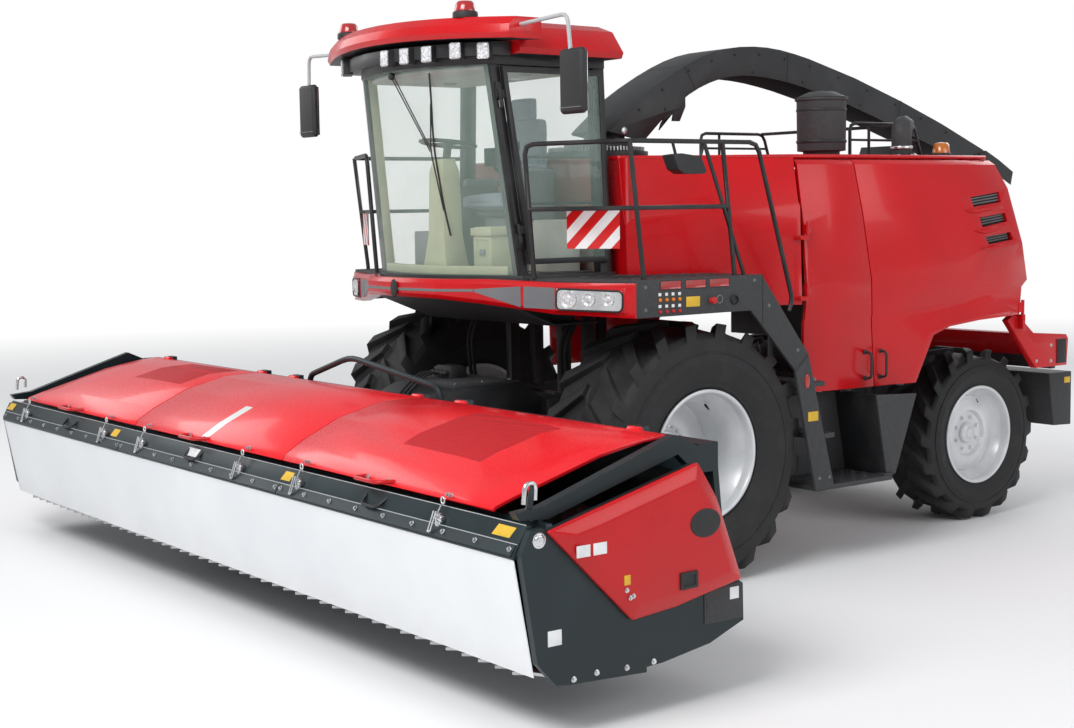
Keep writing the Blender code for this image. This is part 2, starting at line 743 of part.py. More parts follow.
def slot_blades(side):
    """A pointed blade under each of the door's three slots."""
    blades = []
    for _, _, (rear_y, rear_z), (front_y, front_z) in DOOR_SLOTS:
        low = [(front_y - 0.115, front_z - 0.024), (front_y, front_z - 0.008), (rear_y + 0.01, rear_z - 0.008),
               (rear_y + 0.02, rear_z - 0.055), (front_y + 0.01, front_z - 0.062)]
        high = [(front_y - 0.10, front_z - 0.026), (front_y, front_z - 0.018), (rear_y - 0.005, rear_z - 0.018),
                (rear_y, rear_z - 0.040), (front_y + 0.01, front_z - 0.044)]
        rings = [mirrored([(side_x(y, z) + reach, y, z) for y, z in outline], side)
                 for outline, reach in ((low, -0.010), (high, BLADE_REACH))]
        blades.append(loft(rings))
    return blades


def body():
    recess_plan = [(BODY_HALF - 0.63, -0.12), (BODY_HALF - 0.40, 0.50), (body_half(DOOR_FRONT) - 0.02, 1.07)]
    walls = []
    for word, side in SIDES:
        rows = []
        for height, _, inset, _ in BODY_LEVELS:
            rows.append(mirrored([(body_half(y) - inset, y, height)
                                  for y in (DOOR_FRONT, 1.35, seam_y(height) - DOOR_SEAM)], side))
        hinge_x = side * (body_half(DOOR_FRONT) + 0.005)
        hinge = pivot(f"front_door_{word}_axis", (hinge_x, DOOR_FRONT, BODY_LOW), machine)
        door = shell(rows, PANEL, (0, 1.35, 2.0))
        barrels = [cylinder((hinge_x, DOOR_FRONT, z + GAP), (hinge_x, DOOR_FRONT, z + 0.10), 0.012, 12)
                   for z in DOOR_HINGES]
        barrels += [box((hinge_x - side * 0.05, DOOR_FRONT, z + 0.02), (hinge_x + side * 0.004, DOOR_FRONT + 0.04, z + 0.08))
                    for z in DOOR_HINGES]
        add(fused([door] + barrels), f"front_door_{word}", "red_paint", hinge)
        for z in DOOR_HINGES:
            walls.append(box((side * (BODY_HALF - 0.15), DOOR_FRONT - 0.08, z - 0.03),
                             (hinge_x + side * 0.012, DOOR_FRONT - 0.0015, z)))

        rows = []
        for height, rear_height, inset, rear in BODY_LEVELS:
            start = seam_y(height)
            rows.append(mirrored([(body_half(start + (rear - start) * t) - inset, start + (rear - start) * t,
                                   height + (rear_height - height) * t) for t in (0, 0.3, 0.6, 0.8, 1.0)], side))
        door = shell(rows, PANEL, (0, 2.6, 2.0))
        opening = [(2.19, 1.0)] + [edge for edge, _ in FLARE_TABLE] + [(4.0, 1.706), (4.0, 1.0)]
        holes = [prism(opening, "X", side * (BODY_HALF - 0.45), side * (BODY_HALF + 0.25))]
        holes += [prism(slot, "X", side * (BODY_HALF - 0.35), side * (BODY_HALF + 0.15)) for slot in DOOR_SLOTS]
        cut(door, holes)
        x, y, z = REAR_HINGE
        hinge = pivot(f"rear_door_{word}_axis", (side * x, y, z), machine)
        pin = cylinder((side * x, y, z + GAP), (side * x, y, z + 0.12), 0.014, 12)
        leaf = box((side * (x - 0.014), y - 0.06, z + 0.02), (side * (x + 0.005), y, z + 0.10))
        add(fused([baked(door), pin, leaf, door_flare(side)] + slot_blades(side)),
            f"rear_door_{word}", "red_paint", hinge)

        rows = []
        for height, rear_height, drop in ((1.90, 1.90, 0.0), (2.50, 2.61, 0.02), (2.54, 2.65, 0.04),
                                          (HOOD_BASE + 0.01, HOOD_BASE + 0.01, 0.09)):
            heights = (height, (height + rear_height) / 2, rear_height)
            rows.append(mirrored([(x - drop, y, z) for (x, y), z in zip(recess_plan, heights)], side))
        walls.append(shell(rows, PANEL, (0, 0.8, 2.2)))

    edge = ROOF_INSET + 0.01
    plan = [(BODY_HALF - 0.72, -0.12), (BODY_HALF - 0.51, 0.50), (body_half(DOOR_FRONT) - edge, DOOR_FRONT),
            (body_half(SEAM_Y) - edge, SEAM_Y), (body_half(2.6) - edge, 2.6), (body_half(3.2) - edge, 3.24)]
    outline = plan + [(-x, y) for x, y in reversed(plan)]
    hood = baked(softened(prism(outline, "Z", HOOD_BASE, HOOD_BASE + HOOD_THICK), 0.012))
    face = box((0.65 - BODY_HALF, -0.115, 1.92), (BODY_HALF - 0.65, -0.085, HOOD_BASE + 0.015))
    add(fused([hood, face, beacon((BODY_HALF - 0.55, 3.14, HOOD_BASE + HOOD_THICK))] + walls), "hood", "red_paint", machine)

    tail_rows = []
    for height, inset, rear in TAIL_LEVELS:
        corner = rear + TAIL_BEHIND_DOOR
        half = BODY_HALF - 0.15 - inset
        inner = BODY_HALF - 0.40
        tail_rows.append([(-half, corner, height)] + [(x, tail_back(x, rear), height) for x in (-inner, 0, inner)]
                         + [(half, corner, height)])
    tail = shell(tail_rows, PANEL, (0, 3.0, 2.2))
    add(tail, "tail_panel", "red_paint", machine)


def beacon(foot):
    """A domed warning lamp that stands on its foot point."""
    x, y, z = foot
    profile = [(0, z + 0.12), (0.045, z + 0.115), (0.06, z + 0.10), (0.07, z + 0.03), (0.075, z + 0.025),
               (0.075, z - 0.01), (0, z - 0.01)]
    return turned(profile, (x, y, 0), (0, 0, 1), 16)


def rear_end():
    """The red rear bumper with its wings, and the weight box behind the wheels."""
    wing = [(3.46, 1.655), (3.52, 1.69), (3.60, 1.69), (3.80, 1.535), (4.24, 1.50), (4.27, 1.46), (4.25, 1.24),
            (3.84, 1.24)]
    wing_inner = BODY_HALF - 0.18
    parts = [prism(wing, "X", s * wing_inner, s * (wing_inner + 0.06)) for s in (1, -1)]
    x, y, z = REAR_HINGE
    parts += [box((s * (wing_inner + 0.02), y - 0.015, 1.58), (s * (x + 0.014), y + 0.02, z)) for s in (1, -1)]
    cross = box((-wing_inner - 0.03, 4.14, 1.245), (wing_inner + 0.03, 4.26, 1.49))
    slot_end = REAR_BAR_END + 0.005
    frame_slot = box((-slot_end, 4.10, 1.20), (slot_end, 4.195, RAIL_TOP + 0.05 + GAP))
    add(cut(fused([cross] + parts), [frame_slot]), "rear_bumper", "red_paint", machine)

    side = [(4.19, 1.16), (4.50, 1.16), (4.50, 0.70), (4.262, 0.71)]
    weight = prism(side, "X", -1.40, 1.40)
    links = boxes([(s * 0.30, s * 0.40, FRAME_REAR + GAP, 4.34, 1.10, 1.20) for s in (1, -1)])
    add(fused([weight] + links), "rear_weight", "speckled_grey", machine)


def walkway():
    """Fender plates, platforms, stairs and railings on both sides."""
    plate_front = NOSE_TABLE[-1][2] + GAP
    upper = [(plate_front, 1.90), (plate_front, PLATFORM_TOP), (0.43, PLATFORM_TOP), (0.889, 1.564), (0.762, 1.454), (0.33, 1.904)]
    lower = [(0.8892, 1.5638), (1.152, 0.589), (0.966, 0.567), (0.7622, 1.4538)]
    for word, side in SIDES:
        plate = prism(upper, "X", side * (FENDER_OUTER - FENDER_THICK), side * FENDER_OUTER)
        nose_line = [(x, back + 0.001) for x, front, back, low, high in NOSE_TABLE[-2:]]
        slope = (nose_line[1][1] - nose_line[0][1]) / (nose_line[1][0] - nose_line[0][0])
        edge = FENDER_OUTER - 0.002
        deck_inner = CAB_HALF + 0.04
        deck_plan = mirrored([(deck_inner, -0.92, 0), (deck_inner + 0.06, nose_line[0][1] - 0.08, 0), (*nose_line[0], 0),
                              (edge, nose_line[1][1] - 0.002 * slope, 0),
                              (edge, 0.40, 0), (BODY_HALF - 0.35, 0.40, 0), (BODY_HALF - 0.575, -0.14, 0),
                              (deck_inner, -0.14, 0)], side)
        deck = prism([(x, y) for x, y, _ in deck_plan], "Z", PLATFORM_TOP - PLATFORM_THICK, DECK_TOP)
        add(fused([plate, deck]), f"fender_{word}", "speckled_grey", machine)
        railing(word, side)
    stringer = prism(lower, "X", FENDER_OUTER - FENDER_THICK, FENDER_OUTER)
    inner = prism([(0.945, 0.565), (0.945, 1.10), (0.88, 1.42), (1.02, 1.42), (1.06, 1.10), (1.06, 0.565)], "X", 1.31, 1.335)
    steps = boxes([(1.32, FENDER_OUTER - 0.005, y0, y1, z - 0.035, z)
                   for y0, y1, z in ((0.98, 1.78, 0.60), (0.96, 1.16, 0.98), (0.86, 1.06, 1.36))])
    add(fused([stringer, inner] + steps), "ladder", "speckled_grey", machine)


def railing(word, side):
    foot = DECK_TOP + GAP
    rail_x = FENDER_OUTER - FENDER_THICK - RAIL_TUBE - GAP
    front_x = CAB_HALF + 0.13
    top = mirrored([(front_x, -0.955, foot), (front_x, -0.955, foot + 0.02), (front_x, -1.02, RAIL_HEIGHT), (rail_x, -0.70, RAIL_HEIGHT),
                    (rail_x, 0.43, RAIL_HEIGHT), (rail_x, 0.77, 1.96), (rail_x, 0.735, 1.88)], side)
    hoop = tube(bent(top, 0.07, 2), RAIL_TUBE)
    middle = tube(mirrored([(front_x, -0.99, RAIL_MIDDLE), (rail_x, -0.65, RAIL_MIDDLE), (rail_x, 0.165, RAIL_MIDDLE)],
                           side), RAIL_TUBE * 0.9)
    posts = [tube(mirrored([(rail_x, y, foot), (rail_x, y, foot + 0.02), (rail_x, y - 0.105, RAIL_HEIGHT)], side),
                  RAIL_TUBE * 0.95)
             for y in (-0.60, 0.213)]
    # a striped board hangs on the slanting part of the middle rail
    start, end = Vector((1.29, -0.869)), Vector((1.645, -0.704))
    out = Vector((start.y - end.y, end.x - start.x)).normalized() * BOARD_THICK
    plan = [start, end, end + out, start + out]
    board = prism([(side * p.x, p.y) for p in plan], "Z", RAIL_MIDDLE - 0.265, RAIL_MIDDLE + 0.005)
    parts = [hoop, middle, board] + posts
    if side > 0:
        # brace of the ladder's gate, and the lamp that hangs beside it
        parts.append(tube([(rail_x, -0.06, RAIL_HEIGHT), (rail_x, 0.295, foot + 0.02), (rail_x, 0.295, foot)], RAIL_TUBE * 0.8))
        parts.append(tube(bent([(rail_x, -0.34, RAIL_HEIGHT), (rail_x, -0.30, 2.93), (rail_x, -0.10, 2.93),
                                (rail_x, -0.055, RAIL_HEIGHT)], 0.03, 2), RAIL_TUBE * 0.6))
        lamp = [(-0.345, 2.965), (-0.27, 2.975), (-0.10, 2.955), (-0.05, 2.86), (-0.07, 2.84), (-0.24, 2.84), (-0.30, 2.87)]
        parts.append(prism(lamp, "X", rail_x - 0.10, rail_x + 0.016))
    add(fused(parts), f"railing_{word}", "black_paint", machine)


def lean(z):
    """How far the cab's sides stand in at a height."""
    return CAB_LEAN_IN * (z - CAB_FLOOR_TOP)


def screen_y(z):
    """Where the windscreen's corners stand at a height."""
    rise = (z - CAB_FLOOR_TOP) / (CAB_CEILING - CAB_FLOOR_TOP)
    return SCREEN_FOOT_Y + rise * (SCREEN_HEAD_Y - SCREEN_FOOT_Y)


def bow(x, half, corner, depth):
    """Plan line of the curved front of the cab."""
    return corner - depth * (1 - (x / half) ** 2)


def cab():
    steps = [-1 + 2 * i / 12 for i in range(13)]
    floor_half = CAB_HALF + 0.03
    floor_front = [(u * floor_half, bow(u, 1, SCREEN_FOOT_Y + 0.02, SCREEN_BOW + 0.04)) for u in steps]
    floor_plan = floor_front + [(floor_half, CAB_REAR), (-floor_half, CAB_REAR)]
    parts = [prism(floor_plan, "Z", CAB_FLOOR_LOW, CAB_FLOOR_TOP)]
    narrow = CAB_HALF - lean(CAB_CEILING)
    roof_front = [(u * (narrow + 0.02), bow(u, 1, SCREEN_HEAD_Y + 0.02, SCREEN_BOW + 0.04)) for u in steps]
    roof_plan = roof_front + [(narrow + 0.02, CAB_REAR - 0.02), (-narrow - 0.02, CAB_REAR - 0.02)]
    parts.append(prism(roof_plan, "Z", CAB_CEILING, CAB_TOP))
    for side in (1, -1):
        for front in (True, False):
            rings = []
            for z in (CAB_FLOOR_TOP - 0.02, CAB_CEILING + 0.02):
                y = screen_y(z) + GLASS + 0.004 if front else CAB_REAR - 0.11
                thick = POST if front else 0.10
                outer = CAB_HALF - lean(z)
                rings.append(mirrored([(outer, y, z), (outer, y + thick, z),
                                       (outer - POST, y + thick, z), (outer - POST, y, z)], side))
            parts.append(loft(rings))
    parts.append(lamp_bar())
    for z in CAB_DOOR_HINGES:
        parts.append(cylinder(door_axis(z - 0.05), door_axis(z), 0.016, 12))
        place = door_axis(z - 0.025)
        parts.append(box((CAB_HALF - lean(z) - 0.02, place.y - 0.012, z - 0.045), (place.x, place.y + 0.012, z - 0.008)))
    add(fused(parts), "cab_frame", "black_paint", machine)

    rows = []
    for t in (0.0, 0.5, 1.0):
        z = CAB_FLOOR_TOP + GAP + t * (CAB_CEILING - CAB_FLOOR_TOP - GAP - 0.002)
        half = CAB_HALF - 0.01 - lean(z)
        rows.append([(u * half, bow(u, 1, screen_y(z), SCREEN_BOW), z) for u in steps])
    add(shell(rows, GLASS, (0, -0.5, 2.9)), "windscreen", "glass", machine)

    low, high = CAB_FLOOR_TOP + 3 * GAP, CAB_CEILING - 0.001
    rows = [[(-(CAB_HALF + GAP + GLASS - lean(z)), y, z) for y in (screen_y(z) + 0.03, CAB_REAR - 0.03)]
            for z in (low, high)]
    add(shell(rows, GLASS, (0, -0.6, 2.9)), "side_window", "glass", machine)
    rows = [[(u * (CAB_HALF - POST - GAP - lean(z)), CAB_REAR - 0.05, z) for u in (-1, 1)] for z in (low, high)]
    add(shell(rows, GLASS, (0, -0.6, 2.9)), "rear_window", "glass", machine)

    door()
    roof()
    interior()


def door_axis(z):
    """A point on the door's hinge line, which leans with the front post."""
    return Vector((CAB_HALF + 0.02 - lean(z), screen_y(z) + 0.05, z))


def door():
    """The glass door on the left, hung on the front post."""
    clear = 0.006
    hinge = pivot("cab_door_axis", door_axis(DOOR_LOW), machine)
    front_low = screen_y(DOOR_LOW) + 0.085
    front_high = screen_y(DOOR_HIGH) + 0.085
    rear = CAB_REAR - 0.05
    outline = [(front_low, DOOR_LOW), (rear, DOOR_LOW), (rear, DOOR_HIGH), (front_high, DOOR_HIGH)]
    bar = 0.038
    hole = [(front_low + bar, DOOR_LOW + bar), (rear - bar, DOOR_LOW + bar), (rear - bar, DOOR_HIGH - bar),
            (front_high + bar, DOOR_HIGH - bar)]
    frame = prism(outline, "X", 0, DOOR_THICK, holes=[hole])
    inset = [(front_low + bar + GAP, DOOR_LOW + bar + GAP), (rear - bar - GAP, DOOR_LOW + bar + GAP),
             (rear - bar - GAP, DOOR_HIGH - bar - GAP), (front_high + bar + GAP, DOOR_HIGH - bar - GAP)]
    glass = prism(inset, "X", DOOR_THICK / 2, DOOR_THICK / 2 + GLASS)
    for piece in (frame, glass):
        for vertex in piece.data.vertices:
            vertex.co.x += CAB_HALF + clear - lean(vertex.co.z)
    parts = [frame]
    for z in CAB_DOOR_HINGES:
        parts.append(cylinder(door_axis(z + GAP), door_axis(z + 0.08), 0.014, 12))
        place = door_axis(z + 0.04)
        parts.append(box((place.x - 0.008, place.y, z + 0.015), (place.x + 0.010, place.y + 0.06, z + 0.07)))
    add(fused(parts), "cab_door", "black_paint", hinge)
    add(glass, "door_glass", "glass", hinge)


def roof():
    tiers = [
        # half width front, half width rear, front, rear, height
        (1.03, 1.00, -1.04, -0.14, CAB_TOP + GAP),
        (1.04, 1.01, -1.05, -0.13, CAB_TOP + 0.04),
        (0.98, 0.95, -1.04, -0.18, 3.845),
        (0.92, 0.88, -1.00, -0.25, 3.885),
    ]
    rings = [[(-a, front, z), (a, front, z), (b, rear, z), (-b, rear, z)] for a, b, front, rear, z in tiers]
    main = loft(rings)
    count = 12
    rings = []
    for i in range(count + 1):
        u = -1 + 2 * i / count
        x, front, back = u * VISOR_HALF, bow(u, 1, -1.25, 0.32), -0.98
        low = 3.775 - 0.035 * u * u
        high = 3.915 - 0.035 * u * u
        rings.append([(x, front + 0.02, low), (x, front, low + 0.035), (x, front + 0.012, high - 0.05),
                      (x, front + 0.06, high), (x, back, high), (x, back, low)])
    visor = loft(rings)
    domes = [beacon((s * 0.77, -1.30, 3.895)) for s in (1, -1)]
    add(fused([main, visor] + domes), "cab_roof", "red_paint", machine)
    for word, side in SIDES:
        route = [(VISOR_HALF + GAP, -1.15, 3.83), (VISOR_HALF + 0.03, -1.15, 3.83), (1.68, -1.14, 3.85),
                 (1.72, -1.13, 3.40)]
        arm = tube(bent(mirrored(route, side), 0.06, 3), 0.014)
        head = softened(box((side * 1.60, -1.16, 3.22), (side * 1.84, -1.10, 3.63)), 0.02)
        add(fused([baked(head), arm]), f"mirror_{word}", "black_paint", machine)


WORK_LAMPS = [
    # along the curved bar, height of the middle
    (-0.86, 3.69), (-0.75, 3.69), (0.13, 3.675), (0.33, 3.675), (0.52, 3.675), (0.73, 3.685), (0.91, 3.675),
]


def lamp_bar():
    """The curved bar under the roof's visor that carries the work lamps."""
    count = 8
    steps = [-1 + 2 * i / count for i in range(count + 1)]
    half = CAB_HALF + 0.05
    bar_front = [(u * half, bow(u, 1, -1.21, 0.30)) for u in steps]
    bar = prism(bar_front + [(half, -1.062), (-half, -1.062)], "Z", CAB_TOP - 0.01, 3.738)
    lamps = []
    for x, z in WORK_LAMPS:
        y = bow(x / half, 1, -1.21, 0.30)
        turn = math.atan(2 * 0.30 * x / half ** 2)
        lamp = box((-0.045, -0.04, -0.055), (0.045, 0.03, 0.055))
        lamp.data.transform(Matrix.Translation((x, y, z)) @ Matrix.Rotation(turn, 4, "Z"))
        lamps.append(lamp)
    return fused([bar] + lamps)


def interior():
    seat = [softened(b, 0.03) for b in boxes([
        (-0.19, 0.33, -0.74, -0.28, CAB_FLOOR_TOP + 0.44, CAB_FLOOR_TOP + 0.58),
        (-0.17, 0.31, -0.38, -0.24, CAB_FLOOR_TOP + 0.52, CAB_FLOOR_TOP + 1.12),
        (-0.06, 0.20, -0.37, -0.26, CAB_FLOOR_TOP + 1.08, CAB_FLOOR_TOP + 1.27)])]
    base = box((-0.12, -0.65, CAB_FLOOR_TOP + GAP), (0.26, -0.34, CAB_FLOOR_TOP + 0.45))
    add(fused([baked(s) for s in seat] + [base]), "seat", "seat_cloth", machine)
    column = loft([[(x, y, z) for x, y in ((0.05 + half, -1.02 - deep), (0.05 + half, -1.02 + deep),
                                           (0.05 - half, -1.02 + deep), (0.05 - half, -1.02 - deep))]
                   for half, deep, z in ((0.16, 0.10, CAB_FLOOR_TOP + GAP), (0.10, 0.08, 2.45), (0.09, 0.07, 2.90),
                                         (0.06, 0.05, 2.99))])
    tilt = Vector((0, 0.12, 1)).normalized()
    hub = Vector((0.03, -0.97, 3.10))
    wheel_turn = Vector((0, 0, 1)).rotation_difference(tilt).to_matrix()
    ring = [hub + wheel_turn @ Vector((0.20 * math.cos(a), 0.20 * math.sin(a), 0))
            for a in [2 * math.pi * i / 12 for i in range(12)]]
    spoke_a = tube([hub - wheel_turn @ Vector((0.20, 0, 0)), hub + wheel_turn @ Vector((0.20, 0, 0))], 0.012)
    spoke_b = tube([hub + Vector((0, -0.02, -0.14)), hub + Vector((0, 0.004, 0.02))], 0.03)
    add(fused([column, tube(ring, 0.014, True), spoke_a, spoke_b]), "steering_column", "cab_plastic", machine)
    console = boxes([(-0.52, -0.27, -0.72, -0.32, CAB_FLOOR_TOP + GAP, CAB_FLOOR_TOP + 0.64),
                     (-0.50, -0.25, -0.94, -0.70, CAB_FLOOR_TOP + GAP, CAB_FLOOR_TOP + 0.30)])
    add(fused(console), "side_console", "cab_plastic", machine)


NOSE_TABLE = [
    # distance from the middle, front face, back face, lower edge, upper edge
    (0.0, -1.43, -1.33, 2.02, 2.15),
    (0.45, -1.38, -1.28, 2.015, 2.15),
    (0.74, -1.20, -1.10, 1.98, 2.15),
    (1.25, -0.97, -0.89, 1.92, 2.13),
    (FENDER_OUTER, -0.71, -0.698, 1.90, 2.13),
]


def nose():
    """The red band under the windscreen that widens into the lamp pods."""
    half = []
    for x, front, back, low, high in NOSE_TABLE:
        lip = 0.2 * (back - front)
        half.append([(x, front, low + 0.03), (x, front, high - 0.03), (x, front + lip, high), (x, back, high),
                     (x, back, low), (x, front + lip, low)])
    sections = [mirrored(ring, -1) for ring in reversed(half[1:])] + half
    nose_band = loft(sections)
    lamps = []
    for side in (1, -1):
        outer = []
        for x, front, low, high in ((1.28, -0.956, 1.945, 2.10), (1.74, -0.739, 1.935, 2.10)):
            outer.append(mirrored([(x, front - 0.015, low), (x, front - 0.015, high), (x, front + 0.03, high), (x, front + 0.03, low)], side))
        lamps.append(loft(outer))
    # room for the cab's floor, with the gap that touching pieces keep
    half, corner, depth = CAB_HALF + 0.03 + GAP, SCREEN_FOOT_Y + 0.02 - GAP, SCREEN_BOW + 0.04 + GAP
    room = [(-CAB_HALF - 0.04, CAB_REAR), (CAB_HALF + 0.04, CAB_REAR)]
    room += [(-u * half, bow(u, 1, corner, depth)) for u in [-1 + 2 * i / 12 for i in range(13)]]
    notch = prism(room, "Z", CAB_FLOOR_LOW - GAP, CAB_FLOOR_TOP + 0.1)
    add(fused([baked(cut(nose_band, [notch]))] + lamps), "nose_band", "red_paint", machine)


def deck_fittings():
    top = HOOD_BASE + HOOD_THICK + GAP
    x, y = BODY_HALF - 0.60, 1.80
    canister = turned([(0, top + 0.50), (0.10, top + 0.49), (0.20, top + 0.445), (0.205, top + 0.425), (0.19, top + 0.42),
                       (0.185, top + 0.04), (0.14, top + 0.035), (0.14, top), (0, top)], (x, y, 0), (0, 0, 1), 32)
    add(canister, "air_intake", "speckled_grey", machine)
    pipe_x = BODY_HALF - 0.55
    pipe = tube(bent([(pipe_x, 2.66, top), (pipe_x, 2.66, top + 0.25), (pipe_x - 0.08, 2.79, top + 0.25)], 0.12), 0.08)
    add(pipe, "exhaust_pipe", "speckled_grey", machine)
    high = top + 0.27
    parts = [tube(bent(mirrored([(0.88, 2.30, top), (0.88, 2.30, high), (0.88, 3.06, high), (0.88, 3.14, top + 0.03),
                                (0.88, 3.14, top)], s), 0.06, 2),
                  0.014) for s in (1, -1)]
    parts += [tube(mirrored([(0.88, 2.52, top), (0.88, 2.52, high)], s), 0.012) for s in (1, -1)]
    parts += [tube(mirrored([(0.88, 2.31, top + 0.14), (0.88, 3.10, top + 0.14)], s), 0.010) for s in (1, -1)]
    parts.append(tube([(-0.88, 3.04, high), (0.88, 3.04, high)], 0.014))
    parts.append(prism([(2.86, top), (2.90, top + 0.10), (3.12, top + 0.11), (3.22, top)], "X", 0.45, 0.78))
    parts.append(tube([(0.76, 3.10, top + 0.06), (0.875, 3.10, top + 0.135)], 0.012))
    add(fused(parts), "deck_rail", "black_paint", machine)


SPOUT_TABLE = [
    # upper edge along and up, lower edge along and up, half width
    (0.36, 3.20, 0.70, 3.13, 0.240),
    (0.69, 3.47, 0.96, 3.36, 0.238),
    (1.18, 3.74, 1.28, 3.55, 0.232),
    (1.58, 3.87, 1.64, 3.655, 0.225),
    (2.04, 3.90, 2.04, 3.66, 0.216),
    (2.53, 3.83, 2.50, 3.59, 0.206),
    (3.10, 3.69, 3.04, 3.465, 0.195),
    (3.70, 3.51, 3.63, 3.29, 0.184),
    (4.25, 3.325, 4.17, 3.12, 0.174),
    (4.85, 3.095, 4.76, 2.90, 0.166),
]


def rounded_rows(table, parts, first, last):
    """The table's rows with more rows between two of them, on a smooth line."""
    rows = [Vector(row) for row in table]
    found = rows[:first]
    for i in range(first, last):
        before, start, end, after = rows[i - 1:i + 3]
        for k in range(parts):
            t = k / parts
            found.append(0.5 * (2 * start + (end - before) * t + (2 * before - 5 * start + 4 * end - after) * t ** 2
                                + (3 * start - before - 3 * end + after) * t ** 3))
    return [tuple(row) for row in found + rows[last:]]


def spout():
    base = turned([(0, HOOD_BASE + HOOD_THICK + 0.06), (TURRET_RADIUS + 0.04, HOOD_BASE + HOOD_THICK + 0.06),
                   (TURRET_RADIUS + 0.04, HOOD_BASE + HOOD_THICK + GAP), (0, HOOD_BASE + HOOD_THICK + GAP)],
                  (0, TURRET_Y, 0), (0, 0, 1), 32)
    add(base, "turret_base", "black_paint", machine)
    low = HOOD_BASE + HOOD_THICK + 0.06 + GAP
    turn_axis = pivot("spout_turn_axis", (0, TURRET_Y, low), machine)
    ring = turned([(0, TURRET_TOP), (TURRET_RADIUS - 0.03, TURRET_TOP), (TURRET_RADIUS, TURRET_TOP - 0.01), (TURRET_RADIUS, low), (0, low)],
                  (0, TURRET_Y, 0), (0, 0, 1), 32)
    neck = box((-0.20, TURRET_Y - 0.16, TURRET_TOP - 0.02), (0.20, TURRET_Y + 0.19, 3.13))
    inner = SPOUT_TABLE[0][4] - SPOUT_WALL + 2 * GAP
    pin = cylinder((-inner, SPOUT_PIVOT_Y, SPOUT_PIVOT_Z), (inner, SPOUT_PIVOT_Y, SPOUT_PIVOT_Z), 0.03)
    cheek = [box((s * 0.12, SPOUT_PIVOT_Y - 0.05, 3.11), (s * 0.19, SPOUT_PIVOT_Y + 0.05, SPOUT_PIVOT_Z + 0.035)) for s in (1, -1)]
    add(fused([ring, neck, pin] + cheek), "spout_turret", "black_paint", turn_axis)
    lift_axis = pivot("spout_lift_axis", (0, SPOUT_PIVOT_Y, SPOUT_PIVOT_Z), turn_axis)
    rows = []
    for up_y, up_z, low_y, low_z, half in rounded_rows(SPOUT_TABLE, 3, 1, 5):
        rows.append([(-half, low_y, low_z), (-half, up_y, up_z), (half, up_y, up_z), (half, low_y, low_z)])
    arch = shell(rows, SPOUT_WALL, (0, 2.2, 2.0))
    bracket = [(0.86, 3.215), (0.885, 3.275), (1.01, 3.355), (0.995, 3.287), (1.07, 3.287), (1.13, 3.40), (1.13, 3.52), (0.95, 3.40)]
    cheeks = [prism(bracket, "X", s * 0.222, s * 0.238) for s in (1, -1)]
    jack = [cylinder((0, y0, z0), (0, y1, z1), r, 12) for y0, z0, y1, z1, r in (
        (3.60, 3.575, 4.30, 3.345, 0.032), (4.28, 3.352, 4.52, 3.27, 0.016))]
    feet = boxes([(-0.03, 0.03, y - 0.03, y + 0.03, z - 0.10, z + 0.02) for y, z in ((3.64, 3.555), (4.46, 3.275))])
    add(fused([arch] + cheeks + jack + feet), "spout_arch", "black_paint", lift_axis)
    end_y, end_z, _, _, half = SPOUT_TABLE[-1]
    flap_axis = pivot("spout_flap_axis", (0, *FLAP_HINGE), lift_axis)
    wide = half + FLAP_SIDE_GAP + FLAP_THICK
    rows = []
    for y, z, drop in ((end_y + 0.02, end_z - 0.005, 0.12), (end_y + FLAP_LENGTH / 2, end_z - 0.09, 0.13),
                       (end_y + FLAP_LENGTH, end_z - 0.20, 0.12)):
        rows.append([(-wide, y - 0.03, z - drop), (-wide, y, z), (wide, y, z), (wide, y - 0.03, z - drop)])
    flap = shell(rows, FLAP_THICK, (0, end_y + 0.2, end_z - 0.8))
    hinge_y, hinge_z = FLAP_HINGE
    parts = [flap]
    for s in (1, -1):
        parts.append(box((s * (wide - FLAP_THICK), hinge_y - 0.02, hinge_z - 0.025), (s * wide, end_y + 0.05, hinge_z + 0.025)))
        parts.append(cylinder((s * (half + 3 * GAP), hinge_y, hinge_z), (s * (wide + 0.01), hinge_y, hinge_z), 0.018))
    add(fused(parts), "spout_flap", "black_paint", flap_axis)


def wall_back(z):
    """The rear face of the header's back wall, which leans forward going up."""
    return FEEDER_FRONT - (z - HEADER_WALL_LOW) * HEADER_WALL_LEAN


def feeder():
    side = [(wall_back(0.50) + 1.2 * GAP, 0.50), (wall_back(1.16) + 1.2 * GAP, 1.16), (-1.20, 1.36), (-0.62, 1.38), (-0.44, 1.25), (-0.44, 0.80), (-0.70, 0.62)]
    housing = prism(side, "X", -FEEDER_HALF, FEEDER_HALF)
    trunnions = [cylinder((s * 0.30, LIFT_Y, LIFT_Z), (s * 0.47, LIFT_Y, LIFT_Z), 0.08, 20) for s in (1, -1)]
    arms = boxes([(s * 0.30, s * 0.39, -0.50, LIFT_Y + 0.03, LIFT_Z - 0.07, LIFT_Z + 0.07) for s in (1, -1)])
    y, z = LIFT_EYE
    lugs = boxes([(s * (LIFT_X + 0.035), s * (LIFT_X + 0.065), y - 0.06, y + 0.06, z - 0.05, 0.60) for s in (1, -1)])
    bore = cylinder((-0.45, y, z), (0.45, y, z), LIFT_PIN + LIFT_DRIFT)
    add(cut(fused([housing] + trunnions + arms + lugs), [bore]), "feeder_housing", "black_paint", feeder_axis)
    lift_cylinders()


